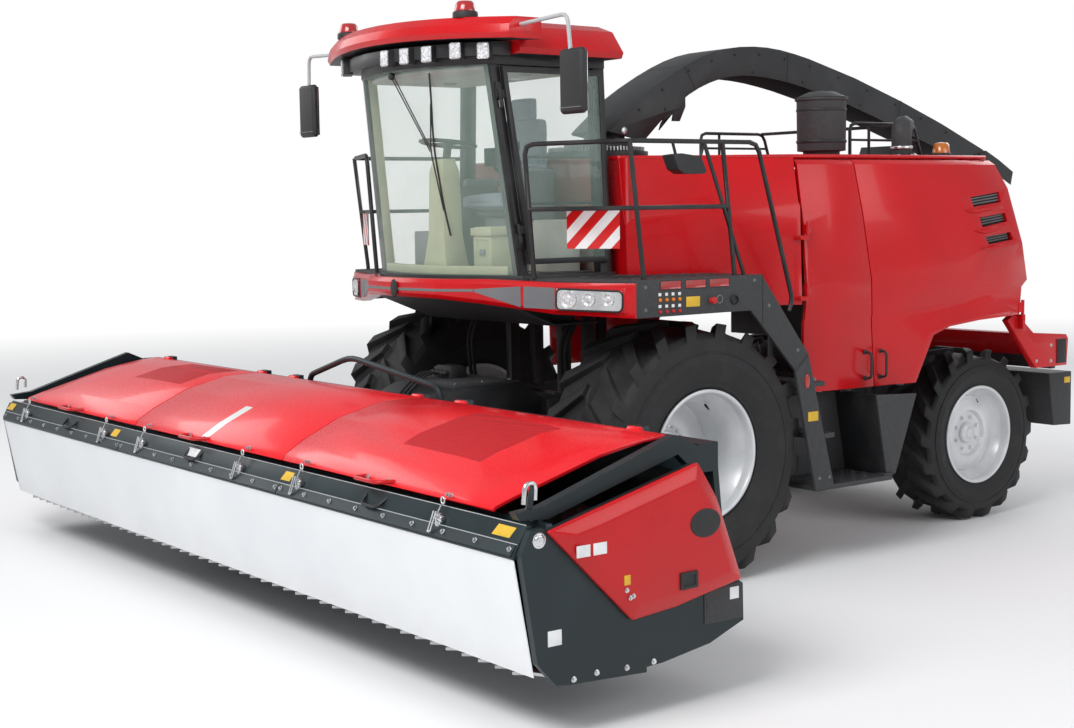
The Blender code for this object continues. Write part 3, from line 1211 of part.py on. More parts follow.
def lift_cylinders():
    """Two barrels on one foot shaft, and two rods on one shaft through the housing's lugs."""
    foot_y, foot_z = LIFT_FOOT
    eye_y, eye_z = LIFT_EYE
    barrel_axis = pivot("lift_barrels_axis", (0, foot_y, foot_z), machine)
    along = Vector((0, eye_y - foot_y, eye_z - foot_z))
    reach = along.length
    along.normalize()
    rod_axis = pivot("lift_rods_axis", (0, foot_y, foot_z), barrel_axis)
    rod = 0.022
    skins, bores, rods = [], [], []
    for s in (1, -1):
        start = Vector((s * LIFT_X, foot_y, foot_z))
        mouth = start + along * 0.62
        bores.append(cylinder(start + along * 0.10, mouth + along * 0.02, rod + GAP))
        skins.append(cylinder(start - along * 0.03, mouth, 0.045))
        rods.append(cylinder(start + along * (reach - 0.85), start + along * reach, rod))
    shaft = cylinder((-LIFT_X - 0.10, foot_y, foot_z), (LIFT_X + 0.10, foot_y, foot_z), LIFT_PIN)
    add(cut(fused([shaft] + skins), bores), "lift_barrels", "black_paint", barrel_axis)
    shaft = cylinder((-LIFT_X - 0.085, eye_y, eye_z), (LIFT_X + 0.085, eye_y, eye_z), LIFT_PIN)
    eyes = [cylinder((s * (LIFT_X - 0.028), eye_y, eye_z), (s * (LIFT_X + 0.028), eye_y, eye_z), 0.045) for s in (1, -1)]
    add(fused([shaft] + eyes + rods), "lift_rods", "steel", rod_axis)


def header():
    plate = [(-3.029, 0.957), (-2.968, 1.072), (-2.900, 1.077), (-2.860, 1.060), (-1.915, 1.290), (-1.785, 1.090),
             (-1.605, 0.640), (-1.564, 0.608), (-1.561, 0.408), (-1.805, 0.320), (-2.138, 0.273), (-2.242, 0.270),
             (-2.243, 0.242), (-2.751, 0.269), (-2.829, 0.281), (-2.939, 0.403)]
    parts = [prism(plate, "X", s * HEADER_HALF, s * (HEADER_HALF + END_PLATE)) for s in (1, -1)]
    wide = HEADER_HALF + 0.01
    inboard = HEADER_HALF - 0.045
    parts.append(box((-inboard, -1.80, 1.22), (inboard, -1.66, 1.375)))
    wall = prism([(wall_back(1.25) - 0.04, 1.25), (wall_back(1.25), 1.25), (wall_back(HEADER_WALL_LOW), HEADER_WALL_LOW),
                  (FEEDER_FRONT - 0.02, HEADER_WALL_LOW - 0.02)], "X", -inboard, inboard)
    parts.append(prism([(wall_back(0.60) - 0.02, 0.60), (wall_back(0.60), 0.60), (wall_back(HEADER_WALL_LOW), HEADER_WALL_LOW),
                        (FEEDER_FRONT - 0.02, HEADER_WALL_LOW - 0.02)], "X", -wide, wide))
    channel = [(-2.995, 1.149), (-2.825, 1.165), (-1.962, 1.437), (-1.79, 1.36), (-1.79, 1.24), (-1.86, 1.26),
               (-1.943, 1.335), (-2.80, 1.098), (-2.97, 1.110)]
    parts += [prism(channel, "X", s * (inboard - 0.06), s * inboard) for s in (1, -1)]
    parts += boxes([(s * (inboard - 0.05), s * (inboard - 0.01), -2.852, -2.82, 1.05, 1.12) for s in (1, -1)])
    guard = [(-0.695, -1.75, 1.30), (-0.695, -1.75, 1.43), (-0.10, -1.75, 1.60), (1.055, -1.75, 1.47), (1.055, -1.75, 1.30)]
    parts.append(tube(bent(guard, 0.12, 3), 0.022))
    parts.append(prism([(-2.93, 1.10), (-2.90, 1.10), (-2.86, 1.265), (-2.885, 1.275)], "X", inboard - 0.03, inboard - 0.012))
    mouth = box((-0.36, -1.8, 0.56), (0.36, -1.4, 1.10))
    parts.append(prism([(-1.585, 0.44), (-1.60, 0.46), (-2.05, 0.34), (-2.78, 0.31), (-2.78, 0.285), (-2.05, 0.315)], "X", -wide, wide))
    parts.append(box((-wide, -2.855, 1.04), (wide, -2.815, 1.085)))
    for x in (-1.117, 1.117):
        parts.append(prism([(-2.84, 1.05), (-2.84, 1.075), (-2.02, 1.355), (-1.72, 1.355), (-1.72, 1.25), (-2.02, 1.28), (-2.83, 1.04)], "X", x - 0.025, x + 0.025))
    parts.append(wall)
    panel = 2 * LID_HALF_SPAN / 3
    for middle in (-panel, 0, panel):
        for s in (1, -1):
            x = middle + s * (panel / 2 - LID_GAP / 2 - LID_HINGE_INSET)
            rest = LID_HINGE_Y + LID_BARREL + GAP
            parts.append(box((x - 0.05, rest, 1.36), (x + 0.05, rest + 0.04, LID_HINGE_Z + 0.02)))
    add(cut(fused(parts), [mouth]), "header_frame", "header_grey", feeder_axis)

    tooth = 0.1524
    count = int(2 * 3.58 / tooth)
    comb = [(-3.60, -2.7803)]
    start = -count * tooth / 2
    for i in range(count):
        left = start + i * tooth
        comb += [(left + 0.010, -2.83), (left + tooth / 2, -2.90), (left + tooth - 0.010, -2.83)]
    comb.append((3.60, -2.7803))
    add(prism(comb, "Z", 0.288, 0.306), "cutter_bar", "steel", feeder_axis)

    covers()
    side_shells()
    curtain()
    auger()


def covers():
    section = [
        # along, up, how far the outer covers fall towards their outer ends
        (LID_HINGE_Y + 0.005, 1.400, 0.0), (-1.95, 1.432, 0.045), (-2.10, 1.432, 0.07), (-2.25, 1.425, 0.09),
        (-2.55, 1.350, 0.10), (-2.80, 1.235, 0.055), (-2.925, 1.160, 0.018), (-2.945, 1.125, 0.0),
    ]
    width = 2 * LID_HALF_SPAN / 3
    for index, word in ((-1, "right"), (0, "centre"), (1, "left")):
        x0 = index * width - width / 2 + LID_GAP / 2
        x1 = index * width + width / 2 - LID_GAP / 2
        hinge = pivot(f"cover_{word}_axis", ((x0 + x1) / 2, LID_HINGE_Y, LID_HINGE_Z), feeder_axis)
        rows = []
        for y, z, fall in section:
            row = []
            for t in (0, 0.12, 0.3, 0.7, 0.88, 1):
                outward = (2 * t - 1) * index
                row.append((x0 + t * (x1 - x0), y, z - fall * max(0.0, outward) ** 2))
            rows.append(row)
        barrels = [cylinder((x - 0.05, LID_HINGE_Y, LID_HINGE_Z), (x + 0.05, LID_HINGE_Y, LID_HINGE_Z), LID_BARREL)
                   for x in (x0 + LID_HINGE_INSET, x1 - LID_HINGE_INSET)]
        add(fused([shell(rows, LID_THICK, (0, -2.3, 0.5))] + barrels), f"cover_{word}", "red_paint", hinge)


def side_shells():
    inner = HEADER_HALF + END_PLATE + GAP
    outline = [
        # rim, then the raised middle, each along and up
        ((-2.885, 1.060), (-2.740, 1.030)),
        ((-2.355, 0.537), (-2.330, 0.620)),
        ((-2.066, 0.561), (-2.080, 0.640)),
        ((-1.595, 0.642), (-1.700, 0.700)),
        ((-1.770, 1.095), (-1.830, 1.060)),
        ((-1.906, 1.300), (-1.945, 1.215)),
        ((-2.300, 1.204), (-2.300, 1.130)),
        ((-2.620, 1.126), (-2.580, 1.060)),
    ]
    for word, side in SIDES:
        rings = [[(side * inner, y, z) for (y, z), _ in outline],
                 [(side * (inner + 0.03), y * 0.995 - 0.011, z) for (y, z), _ in outline],
                 [(side * (inner + 0.06), y, z) for _, (y, z) in outline]]
        add(loft(rings), f"side_shell_{word}", "red_paint", feeder_axis)


def curtain():
    hinge = pivot("curtain_axis", (0, BEAM_PIVOT_Y, BEAM_PIVOT_Z), feeder_axis)
    half = HEADER_HALF - 0.006
    profile = [(-2.957, 1.090), (BEAM_LIP_Y, 0.940), (-3.040, 0.930), (-3.005, 0.935), (-2.925, 1.005), (-2.925, 1.085)]
    beam = prism(profile, "X", -half, half)
    pins = [cylinder((s * (half - 0.02), BEAM_PIVOT_Y, BEAM_PIVOT_Z), (s * (HEADER_HALF - GAP), BEAM_PIVOT_Y, BEAM_PIVOT_Z), 0.022)
            for s in (1, -1)]
    add(fused([beam] + pins), "curtain_beam", "header_grey", hinge)
    top = 0.930 - GAP
    sheet = [(-3.040, top), (-3.040 + CURTAIN_THICK, top), (-2.930 + CURTAIN_THICK, CURTAIN_LOW), (-2.930, CURTAIN_LOW)]
    add(prism(sheet, "X", -half, half), "curtain", "curtain_cloth", hinge)


def auger():
    """The feed auger: one skin whose sections carry the flight as a turning fin."""
    axis = pivot("auger_axis", (0, AUGER_Y, AUGER_Z), feeder_axis)
    per_turn, turns, pitch, plain = 7, 4, 0.76, 0.50
    fin = math.radians(3)
    sides = 5

    def ring(x, angle, reach):
        points = [(AUGER_TUBE, angle - fin), (reach, angle - fin), (reach, angle + fin), (AUGER_TUBE, angle + fin)]
        points += [(AUGER_TUBE, angle + 2 * math.pi * k / (sides + 1)) for k in range(1, sides + 1)]
        return [(x, AUGER_Y + r * math.sin(a), AUGER_Z + r * math.cos(a)) for r, a in points]

    half = []
    count = per_turn * turns
    for i in range(count + 1):
        reach = AUGER_TUBE + 0.004 if i in (0, count) else AUGER_FLIGHT
        half.append((plain + pitch * i / per_turn, 2 * math.pi * i / per_turn, reach))
    table = [(-x, a, r) for x, a, r in reversed(half)] + half
    body_of_auger = loft([ring(*row) for row in table])
    end = HEADER_HALF - GAP
    shafts = [cylinder((s * (half[-1][0] - 0.05), AUGER_Y, AUGER_Z), (s * end, AUGER_Y, AUGER_Z), 0.05) for s in (1, -1)]
    add(fused([body_of_auger] + shafts), "auger", "steel", axis)


wheels()
chassis()
body()
rear_end()
walkway()
cab()
nose()
deck_fittings()
spout()
feeder()
header()
machine.location = (0, -(BEAM_LIP_Y + SPOUT_TABLE[-1][0] + FLAP_LENGTH) / 2, 0)
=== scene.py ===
import json
import math

import bmesh
import bpy
from mathutils import Matrix, Vector


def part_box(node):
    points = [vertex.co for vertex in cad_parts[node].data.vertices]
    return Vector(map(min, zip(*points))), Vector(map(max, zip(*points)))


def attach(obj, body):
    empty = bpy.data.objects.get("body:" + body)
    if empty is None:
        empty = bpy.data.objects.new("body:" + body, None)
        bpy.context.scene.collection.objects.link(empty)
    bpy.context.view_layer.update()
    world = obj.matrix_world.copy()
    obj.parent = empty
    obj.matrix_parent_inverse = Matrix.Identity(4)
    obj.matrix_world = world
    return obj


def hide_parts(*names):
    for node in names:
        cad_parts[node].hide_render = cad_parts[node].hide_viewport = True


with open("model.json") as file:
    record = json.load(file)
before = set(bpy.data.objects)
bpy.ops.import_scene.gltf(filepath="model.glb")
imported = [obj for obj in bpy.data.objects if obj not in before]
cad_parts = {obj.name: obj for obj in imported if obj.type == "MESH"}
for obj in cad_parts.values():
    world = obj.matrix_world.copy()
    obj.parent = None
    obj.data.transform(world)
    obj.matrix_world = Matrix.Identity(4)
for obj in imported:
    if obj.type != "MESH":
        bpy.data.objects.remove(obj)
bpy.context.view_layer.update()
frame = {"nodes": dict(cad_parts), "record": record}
nodes = frame["nodes"]

# The machine faces -Y, its left side is +X. Lengths along Y below count from
# the front axle, as on a drawing; place() turns them into the frame's own.
tyreLow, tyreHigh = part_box("front_tyre_left")
axleY = (tyreLow[1] + tyreHigh[1]) / 2
sides = (("left", "Left", 1), ("right", "Right", -1))  # node word, ending of a name, sign of X


def place(x, y, z):
    return Vector((x, y + axleY, z))


# Camera, light and floor

cameraSet = {
    "spot": (10.103, -7.642, 2.630),  # y from the front axle
    "yaw": 53.555,
    "pitch": 5.371,
    "roll": -0.915,
    "lens": 55.66,
    "sensor": 36.0,
}


def buildCamera():
    data = bpy.data.cameras.new("photoCamera")
    data.lens = cameraSet["lens"]
    data.sensor_width = cameraSet["sensor"]
    data.clip_end = 200
    camera = bpy.data.objects.new("photoCamera", data)
    bpy.context.scene.collection.objects.link(camera)
    yaw, pitch, roll = (math.radians(cameraSet[key]) for key in ("yaw", "pitch", "roll"))
    ahead = Vector((-math.sin(yaw) * math.cos(pitch), math.cos(yaw) * math.cos(pitch), -math.sin(pitch)))
    flatRight = ahead.cross(Vector((0, 0, 1))).normalized()
    flatUp = flatRight.cross(ahead)
    right = flatRight * math.cos(roll) + flatUp * math.sin(roll)
    up = flatUp * math.cos(roll) - flatRight * math.sin(roll)
    turn = Matrix((right, up, -ahead)).transposed().to_4x4()
    camera.matrix_world = Matrix.Translation(place(*cameraSet["spot"])) @ turn
    bpy.context.scene.camera = camera


lightSet = {
    # name: (place, target, width, height, power)
    "keyPanel": ((4.5, -10.5, 10.0), (0.5, -0.5, 1.5), 7.0, 5.0, 1050),
    "sidePanel": ((12.0, 3.5, 6.0), (0.6, 1.0, 1.6), 8.0, 4.0, 250),
    "farPanel": ((-10.0, -5.0, 7.0), (-1.0, 0.0, 1.5), 7.0, 5.0, 240),
    "backPanel": ((-3.0, 11.0, 7.5), (0.0, 2.0, 2.0), 8.0, 5.0, 330),
}


def buildLight():
    for name, (spot, target, width, height, power) in lightSet.items():
        data = bpy.data.lights.new(name, "AREA")
        data.shape = "RECTANGLE"
        data.size = width
        data.size_y = height
        data.energy = power
        lamp = bpy.data.objects.new(name, data)
        bpy.context.scene.collection.objects.link(lamp)
        lamp.location = spot
        lamp.rotation_euler = (Vector(target) - Vector(spot)).to_track_quat("-Z", "Y").to_euler()


worldSet = {"soft": (0.93, 0.96, 1.0, 1), "softStrength": 0.50, "seen": (1, 1, 1, 1), "seenStrength": 1.0}


def buildWorld():
    # white where the camera looks past the machine, softer as a light
    world = bpy.data.worlds.new("studio")
    bpy.context.scene.world = world
    world.use_nodes = True
    tree = world.node_tree
    tree.nodes.clear()
    out = tree.nodes.new("ShaderNodeOutputWorld")
    mix = tree.nodes.new("ShaderNodeMixShader")
    for index, key in ((1, "soft"), (2, "seen")):
        light = tree.nodes.new("ShaderNodeBackground")
        light.inputs["Color"].default_value = worldSet[key]
        light.inputs["Strength"].default_value = worldSet[key + "Strength"]
        tree.links.new(light.outputs[0], mix.inputs[index])
    path = tree.nodes.new("ShaderNodeLightPath")
    either = tree.nodes.new("ShaderNodeMath")
    either.operation = "MAXIMUM"
    tree.links.new(path.outputs["Is Camera Ray"], either.inputs[0])
    tree.links.new(path.outputs["Is Transmission Ray"], either.inputs[1])
    tree.links.new(either.outputs[0], mix.inputs[0])
    tree.links.new(mix.outputs[0], out.inputs["Surface"])
    bpy.context.scene.view_settings.view_transform = "Standard"


# Shader helpers

class Signal:
    # a socket that adds and multiplies like a number
    def __init__(self, recipe, socket):
        self.recipe = recipe
        self.socket = socket

    def work(self, operation, first, second=0.0):
        return self.recipe.node("ShaderNodeMath", {"operation": operation}, {0: first, 1: second})

    def __add__(self, other):
        return self.work("ADD", self, other)

    def __radd__(self, other):
        return self.work("ADD", other, self)

    def __sub__(self, other):
        return self.work("SUBTRACT", self, other)

    def __rsub__(self, other):
        return self.work("SUBTRACT", other, self)

    def __mul__(self, other):
        return self.work("MULTIPLY", self, other)

    def __rmul__(self, other):
        return self.work("MULTIPLY", other, self)

    def __gt__(self, other):
        return self.work("GREATER_THAN", self, other)

    def __lt__(self, other):
        return self.work("LESS_THAN", self, other)

    def __abs__(self):
        return self.work("ABSOLUTE", self)


class Recipe:
    # one material: constants on the shader, patterns through nodes
    def __init__(self, name, colour, **constants):
        self.material = bpy.data.materials.new(name)
        self.material.use_nodes = True
        self.tree = self.material.node_tree
        self.shader = self.tree.nodes["Principled BSDF"]
        self.shader.inputs["Base Color"].default_value = (*colour, 1)
        for socket, value in constants.items():
            self.shader.inputs[socket.replace("_", " ")].default_value = value
        coordinates = self.tree.nodes.new("ShaderNodeTexCoord")
        self.spot = Signal(self, coordinates.outputs["Object"])

    def node(self, kind, settings=None, inputs=None, output=0):
        made = self.tree.nodes.new(kind)
        for key, value in (settings or {}).items():
            setattr(made, key, value)
        for key, value in (inputs or {}).items():
            self.feed(made.inputs[key], value)
        return Signal(self, made.outputs[output])

    def feed(self, socket, value):
        if isinstance(value, Signal):
            self.tree.links.new(value.socket, socket)
        else:
            socket.default_value = value

    def noise(self, scale, detail=4.0, rough=0.55, spot=None):
        return self.node("ShaderNodeTexNoise", None,
                         {"Vector": spot or self.spot, "Scale": scale, "Detail": detail,
                          "Roughness": rough})

    def waves(self, way, scale):
        return self.node("ShaderNodeTexWave", {"bands_direction": way},
                         {"Vector": self.spot, "Scale": scale})

    def range(self, value, low, high, newLow=0.0, newHigh=1.0):
        return self.node("ShaderNodeMapRange", {"clamp": True},
                         {"Value": value, "From Min": low, "From Max": high, "To Min": newLow,
                          "To Max": newHigh})

    def blend(self, factor, first, second):
        mixed = self.tree.nodes.new("ShaderNodeMix")
        mixed.data_type = "RGBA"
        self.feed(mixed.inputs["Factor"], factor)
        for socket, value in ((mixed.inputs[6], first), (mixed.inputs[7], second)):
            self.feed(socket, value if isinstance(value, Signal) else (*value, 1))
        return Signal(self, mixed.outputs[2])

    def bump(self, height, strength, distance):
        return self.node("ShaderNodeBump", None, {"Strength": strength, "Distance": distance,
                                                  "Height": height})

    def axis(self, index, spot=None):
        return self.node("ShaderNodeSeparateXYZ", None, {0: spot or self.spot}, output=index)

    def put(self, **inputs):
        for key, value in inputs.items():
            self.feed(self.shader.inputs[key.replace("_", " ")], value)
        return self.material


# Materials

coverMarks = {
    # low and high along X, low and high along Y
    "leftField": (2.05, 2.83, -2.66, -2.11),
    "rightField": (-2.20, -1.36, -2.48, -1.99),
    "paleBar": (-0.04, 0.06, -2.94, -2.60),
}


def insideMark(recipe, name):
    # 1 inside one of the rectangles on the covers, 0 outside
    left, right, near, far = coverMarks[name]
    across, along = recipe.axis(0), recipe.axis(1) - axleY
    return (across > left) * (across < right) * (along > near) * (along < far)


def glossyPaint(name, colour, shade, cover=False):
    # sprayed enamel: a slight ripple in the gloss and dust low on the panels; the covers' has their marks
    recipe = Recipe(name, colour, Coat_Weight=0.2, Coat_Roughness=0.06, Specular_IOR_Level=0.3)
    ripple = recipe.noise(55.0, 2.0)
    cloud = recipe.noise(1.7, 5.0)
    fine = recipe.noise(240.0, 2.0)
    dirt = recipe.range(recipe.axis(2), 1.05, 0.3, 0.0, 0.30) * recipe.range(cloud, 0.35, 0.7)
    tone = recipe.blend(recipe.range(cloud, 0.3, 0.7), colour, shade)
    tone = recipe.blend(dirt * 0.35, tone, (0.30, 0.26, 0.21))
    rough = recipe.range(fine, 0.3, 0.7, 0.24, 0.31) + dirt
    if cover:
        field = insideMark(recipe, "leftField") + insideMark(recipe, "rightField")
        bar = insideMark(recipe, "paleBar")
        holes = recipe.node("ShaderNodeTexVoronoi", None,
                            {"Vector": recipe.spot, "Scale": 130.0, "Randomness": 0.15})
        pierced = recipe.blend(holes < 0.33, (0.55, 0.006, 0.012), (0.16, 0.002, 0.004))
        tone = recipe.blend(bar, recipe.blend(field, tone, pierced), (0.75, 0.74, 0.72))
        rough = rough + field * 0.3
        recipe.put(Coat_Weight=0.2 - field * 0.18)
    return recipe.put(Base_Color=tone, Roughness=rough, Normal=recipe.bump(ripple, 0.05, 0.002))


def stripedBoard():
    # red and white warning stripes at forty-five degrees
    recipe = Recipe("stripedBoard", (0.8, 0.8, 0.8), Specular_IOR_Level=0.45)
    lean = (abs(recipe.axis(0)) * 1.09 - recipe.axis(2)) * 5.6
    band = recipe.node("ShaderNodeMath", {"operation": "FRACT"}, {0: lean}) > 0.5
    cloud = recipe.noise(9.0, 3.0)
    white = recipe.blend(recipe.range(cloud, 0.3, 0.7), (0.86, 0.87, 0.87), (0.76, 0.77, 0.77))
    return recipe.put(Base_Color=recipe.blend(band, white, (0.62, 0.012, 0.012)),
                      Roughness=recipe.range(cloud, 0.3, 0.7, 0.28, 0.42),
                      Normal=recipe.bump(cloud, 0.04, 0.001))


def clearLens(name, colour, cell=70.0):
    # moulded lens with small prisms over a bright reflector
    recipe = Recipe(name, colour, Coat_Weight=0.8, Coat_Roughness=0.03, Specular_IOR_Level=0.6)
    prisms = recipe.node("ShaderNodeTexVoronoi", {"feature": "F1"}, {"Vector": recipe.spot, "Scale": cell})
    darker = tuple(channel * 0.55 for channel in colour)
    return recipe.put(Base_Color=recipe.blend(recipe.range(prisms, 0.15, 0.75), colour, darker),
                      Roughness=recipe.range(prisms, 0.0, 0.7, 0.08, 0.2),
                      Normal=recipe.bump(prisms, 0.3, 0.002))


def satinBlack(name, colour, rough=0.42, grain=160.0, wear=0.05):
    recipe = Recipe(name, colour, Specular_IOR_Level=0.45)
    cloud = recipe.noise(3.1, 6.0)
    fine = recipe.noise(grain, 3.0)
    paler = tuple(channel + wear for channel in colour)
    return recipe.put(Base_Color=recipe.blend(recipe.range(cloud, 0.45, 0.8, 0.0, 0.6), colour, paler),
                      Roughness=recipe.range(cloud, 0.3, 0.75, rough - 0.06, rough + 0.14),
                      Normal=recipe.bump(fine, 0.12, 0.001))


def speckledCoat():
    # dark grey textured coating with pale flecks
    recipe = Recipe("speckledCoat", (0.045, 0.046, 0.048), Specular_IOR_Level=0.4)
    flecks = recipe.noise(310.0, 2.0, 0.6)
    patches = recipe.noise(34.0, 4.0)
    pale = recipe.range(flecks, 0.60, 0.72)
    tone = recipe.blend(pale * 0.7, (0.038, 0.039, 0.041), (0.20, 0.20, 0.205))
    tone = recipe.blend(recipe.range(patches, 0.4, 0.7, 0.0, 0.25), tone, (0.08, 0.08, 0.083))
    return recipe.put(Base_Color=tone, Roughness=recipe.range(flecks, 0.3, 0.7, 0.48, 0.72),
                      Normal=recipe.bump(flecks, 0.35, 0.0012))


def headerPaint():
    recipe = Recipe("headerPaint", (0.008, 0.018, 0.021), Coat_Weight=0.1, Coat_Roughness=0.2,
                    Specular_IOR_Level=0.35)
    cloud = recipe.noise(2.3, 5.0)
    fine = recipe.noise(190.0, 2.0)
    tone = recipe.blend(recipe.range(cloud, 0.35, 0.75), (0.007, 0.016, 0.019), (0.014, 0.026, 0.030))
    return recipe.put(Base_Color=tone, Roughness=recipe.range(cloud, 0.3, 0.7, 0.33, 0.46),
                      Normal=recipe.bump(fine, 0.08, 0.0008))


def tyreRubber():
    recipe = Recipe("tyreRubber", (0.022, 0.022, 0.023), Specular_IOR_Level=0.35)
    cloud = recipe.noise(4.5, 6.0, 0.65)
    fine = recipe.noise(130.0, 4.0)
    dust = recipe.range(cloud, 0.48, 0.78, 0.0, 0.55)
    return recipe.put(Base_Color=recipe.blend(dust, (0.020, 0.020, 0.021), (0.062, 0.060, 0.057)),
                      Roughness=recipe.range(cloud, 0.3, 0.8, 0.56, 0.82),
                      Normal=recipe.bump(fine, 0.25, 0.0015))


def rimPaint():
    recipe = Recipe("rimSilver", (0.74, 0.75, 0.77), Metallic=0.15, Coat_Weight=0.3, Coat_Roughness=0.12)
    cloud = recipe.noise(3.7, 5.0)
    fine = recipe.noise(420.0, 2.0)
    tone = recipe.blend(recipe.range(cloud, 0.3, 0.75), (0.78, 0.79, 0.80), (0.60, 0.61, 0.63))
    return recipe.put(Base_Color=tone, Roughness=recipe.range(fine, 0.3, 0.7, 0.26, 0.36),
                      Normal=recipe.bump(fine, 0.05, 0.0006))


def bareSteel(name, colour, rough):
    recipe = Recipe(name, colour, Metallic=1.0)
    streaks = recipe.noise(90.0, 5.0)
    cloud = recipe.noise(6.0, 4.0)
    darker = tuple(channel * 0.62 for channel in colour)
    return recipe.put(Base_Color=recipe.blend(recipe.range(cloud, 0.35, 0.75), colour, darker),
                      Roughness=recipe.range(streaks, 0.3, 0.7, rough - 0.06, rough + 0.1),
                      Normal=recipe.bump(streaks, 0.06, 0.0006))


def cabGlass():
    # thin green-tinted pane: mostly see-through, with a clear reflection
    recipe = Recipe("cabGlass", (0.50, 0.68, 0.60), Metallic=0.0, Specular_IOR_Level=0.6)
    cloud = recipe.noise(2.2, 3.0)
    tone = recipe.blend(recipe.range(cloud, 0.35, 0.7), (0.44, 0.62, 0.54), (0.52, 0.68, 0.60))
    return recipe.put(Base_Color=tone, Roughness=recipe.range(cloud, 0.3, 0.7, 0.02, 0.05),
                      Alpha=recipe.range(cloud, 0.3, 0.7, 0.12, 0.16))


def curtainCloth():
    # coated tarpaulin: a fine square weave under a smooth skin
    recipe = Recipe("curtainCloth", (0.80, 0.81, 0.82), Specular_IOR_Level=0.35)
    cloud = recipe.noise(1.3, 4.0)
    smudge = recipe.range(recipe.axis(2), 0.52, 0.32, 0.0, 0.18) * recipe.noise(9.0, 5.0)
    tone = recipe.blend(recipe.range(cloud, 0.3, 0.7), (0.83, 0.84, 0.85), (0.76, 0.77, 0.79))
    return recipe.put(Base_Color=recipe.blend(smudge, tone, (0.42, 0.40, 0.37)),
                      Roughness=recipe.range(cloud, 0.3, 0.7, 0.44, 0.58),
                      Normal=recipe.bump(recipe.waves("X", 160.0) + recipe.waves("Z", 160.0), 0.05, 0.0008))


def mouldedPlastic(name, colour, rough=0.55):
    recipe = Recipe(name, colour, Specular_IOR_Level=0.4)
    grain = recipe.node("ShaderNodeTexVoronoi", None, {"Vector": recipe.spot, "Scale": 420.0})
    cloud = recipe.noise(5.0, 3.0)
    darker = tuple(channel * 0.86 for channel in colour)
    return recipe.put(Base_Color=recipe.blend(recipe.range(cloud, 0.35, 0.7), colour, darker),
                      Roughness=recipe.range(grain, 0.0, 0.6, rough - 0.05, rough + 0.08),
                      Normal=recipe.bump(grain, 0.18, 0.0008))


def wovenSeat():
    recipe = Recipe("seatFabric", (0.20, 0.21, 0.23), Specular_IOR_Level=0.2, Sheen_Weight=0.25)
    weave = recipe.waves("X", 120.0) * recipe.waves("DIAGONAL", 120.0)
    return recipe.put(Base_Color=recipe.blend(weave, (0.24, 0.28, 0.33), (0.36, 0.41, 0.47)),
                      Roughness=recipe.range(weave, 0.0, 1.0, 0.85, 0.95),
                      Normal=recipe.bump(weave, 0.3, 0.001))


def plainLabel(name, colour):
    recipe = Recipe(name, colour, Specular_IOR_Level=0.4)
    cloud = recipe.noise(14.0, 3.0)
    darker = tuple(channel * 0.85 for channel in colour)
    return recipe.put(Base_Color=recipe.blend(recipe.range(cloud, 0.4, 0.75), colour, darker),
                      Roughness=recipe.range(cloud, 0.3, 0.7, 0.35, 0.5))


print("materials")
finishes = {
    "redPaint": glossyPaint("redPaint", (0.60, 0.003, 0.007), (0.50, 0.003, 0.006)),
    # the covers' red is brighter than redPaint although it is the same paint: the extra brightness is
    # painted light on the upward-facing lids
    "coverPaint": glossyPaint("coverPaint", (0.86, 0.010, 0.018), (0.78, 0.008, 0.015), cover=True),
    "palePaint": satinBlack("palePaint", (0.42, 0.43, 0.44), 0.4, 200.0, 0.05),
    "stripedBoard": stripedBoard(),
    "lampLens": clearLens("lampLens", (0.86, 0.88, 0.90)),
    "orangeLens": clearLens("orangeLens", (0.80, 0.22, 0.01), 120.0),
    "redLens": clearLens("redLens", (0.55, 0.01, 0.01), 160.0),
    "mirrorGlass": bareSteel("mirrorGlass", (0.62, 0.66, 0.70), 0.10),
    "gearGrey": satinBlack("gearGrey", (0.16, 0.17, 0.18), 0.45, 150.0, 0.05),
    "blackPaint": satinBlack("blackPaint", (0.014, 0.0145, 0.016)),
    "blackPlastic": satinBlack("blackPlastic", (0.018, 0.018, 0.019), 0.5, 300.0, 0.02),
    "spoutPaint": satinBlack("spoutPaint", (0.022, 0.023, 0.025), 0.5, 120.0, 0.04),
    "speckledCoat": speckledCoat(),
    "headerPaint": headerPaint(),
    "tyreRubber": tyreRubber(),
    "rimSilver": rimPaint(),
    "bareSteel": bareSteel("bareSteel", (0.56, 0.56, 0.57), 0.32),
    "brightZinc": bareSteel("brightZinc", (0.78, 0.79, 0.80), 0.25),
    "augerSteel": bareSteel("augerSteel", (0.30, 0.29, 0.28), 0.45),
    "cabGlass": cabGlass(),
    "curtainCloth": curtainCloth(),
    "creamPlastic": mouldedPlastic("creamPlastic", (0.66, 0.65, 0.58), 0.6),
    "orangePlastic": plainLabel("orangePlastic", (0.85, 0.22, 0.01)),
    "redPlastic": plainLabel("redPlastic", (0.55, 0.012, 0.012)),
    "beigePlastic": mouldedPlastic("beigePlastic", (0.50, 0.52, 0.34)),
    "greyPlastic": mouldedPlastic("greyPlastic", (0.22, 0.23, 0.24)),
    "paleLining": mouldedPlastic("paleLining", (0.55, 0.56, 0.55), 0.8),
    "seatFabric": wovenSeat(),
    "yellowLabel": plainLabel("yellowLabel", (0.78, 0.48, 0.03)),
    "whiteLabel": plainLabel("whiteLabel", (0.86, 0.87, 0.88)),
}

glassNodes = ("windscreen", "side_window", "rear_window", "door_glass")


def dressGlass():
    # the CAD panes are shown as they are
    for name in glassNodes:
        nodes[name].data.materials.clear()
        nodes[name].data.materials.append(finishes["cabGlass"])


floorSet = {"size": 120, "colour": (0.93, 0.93, 0.93), "fade": (9.0, 26.0)}


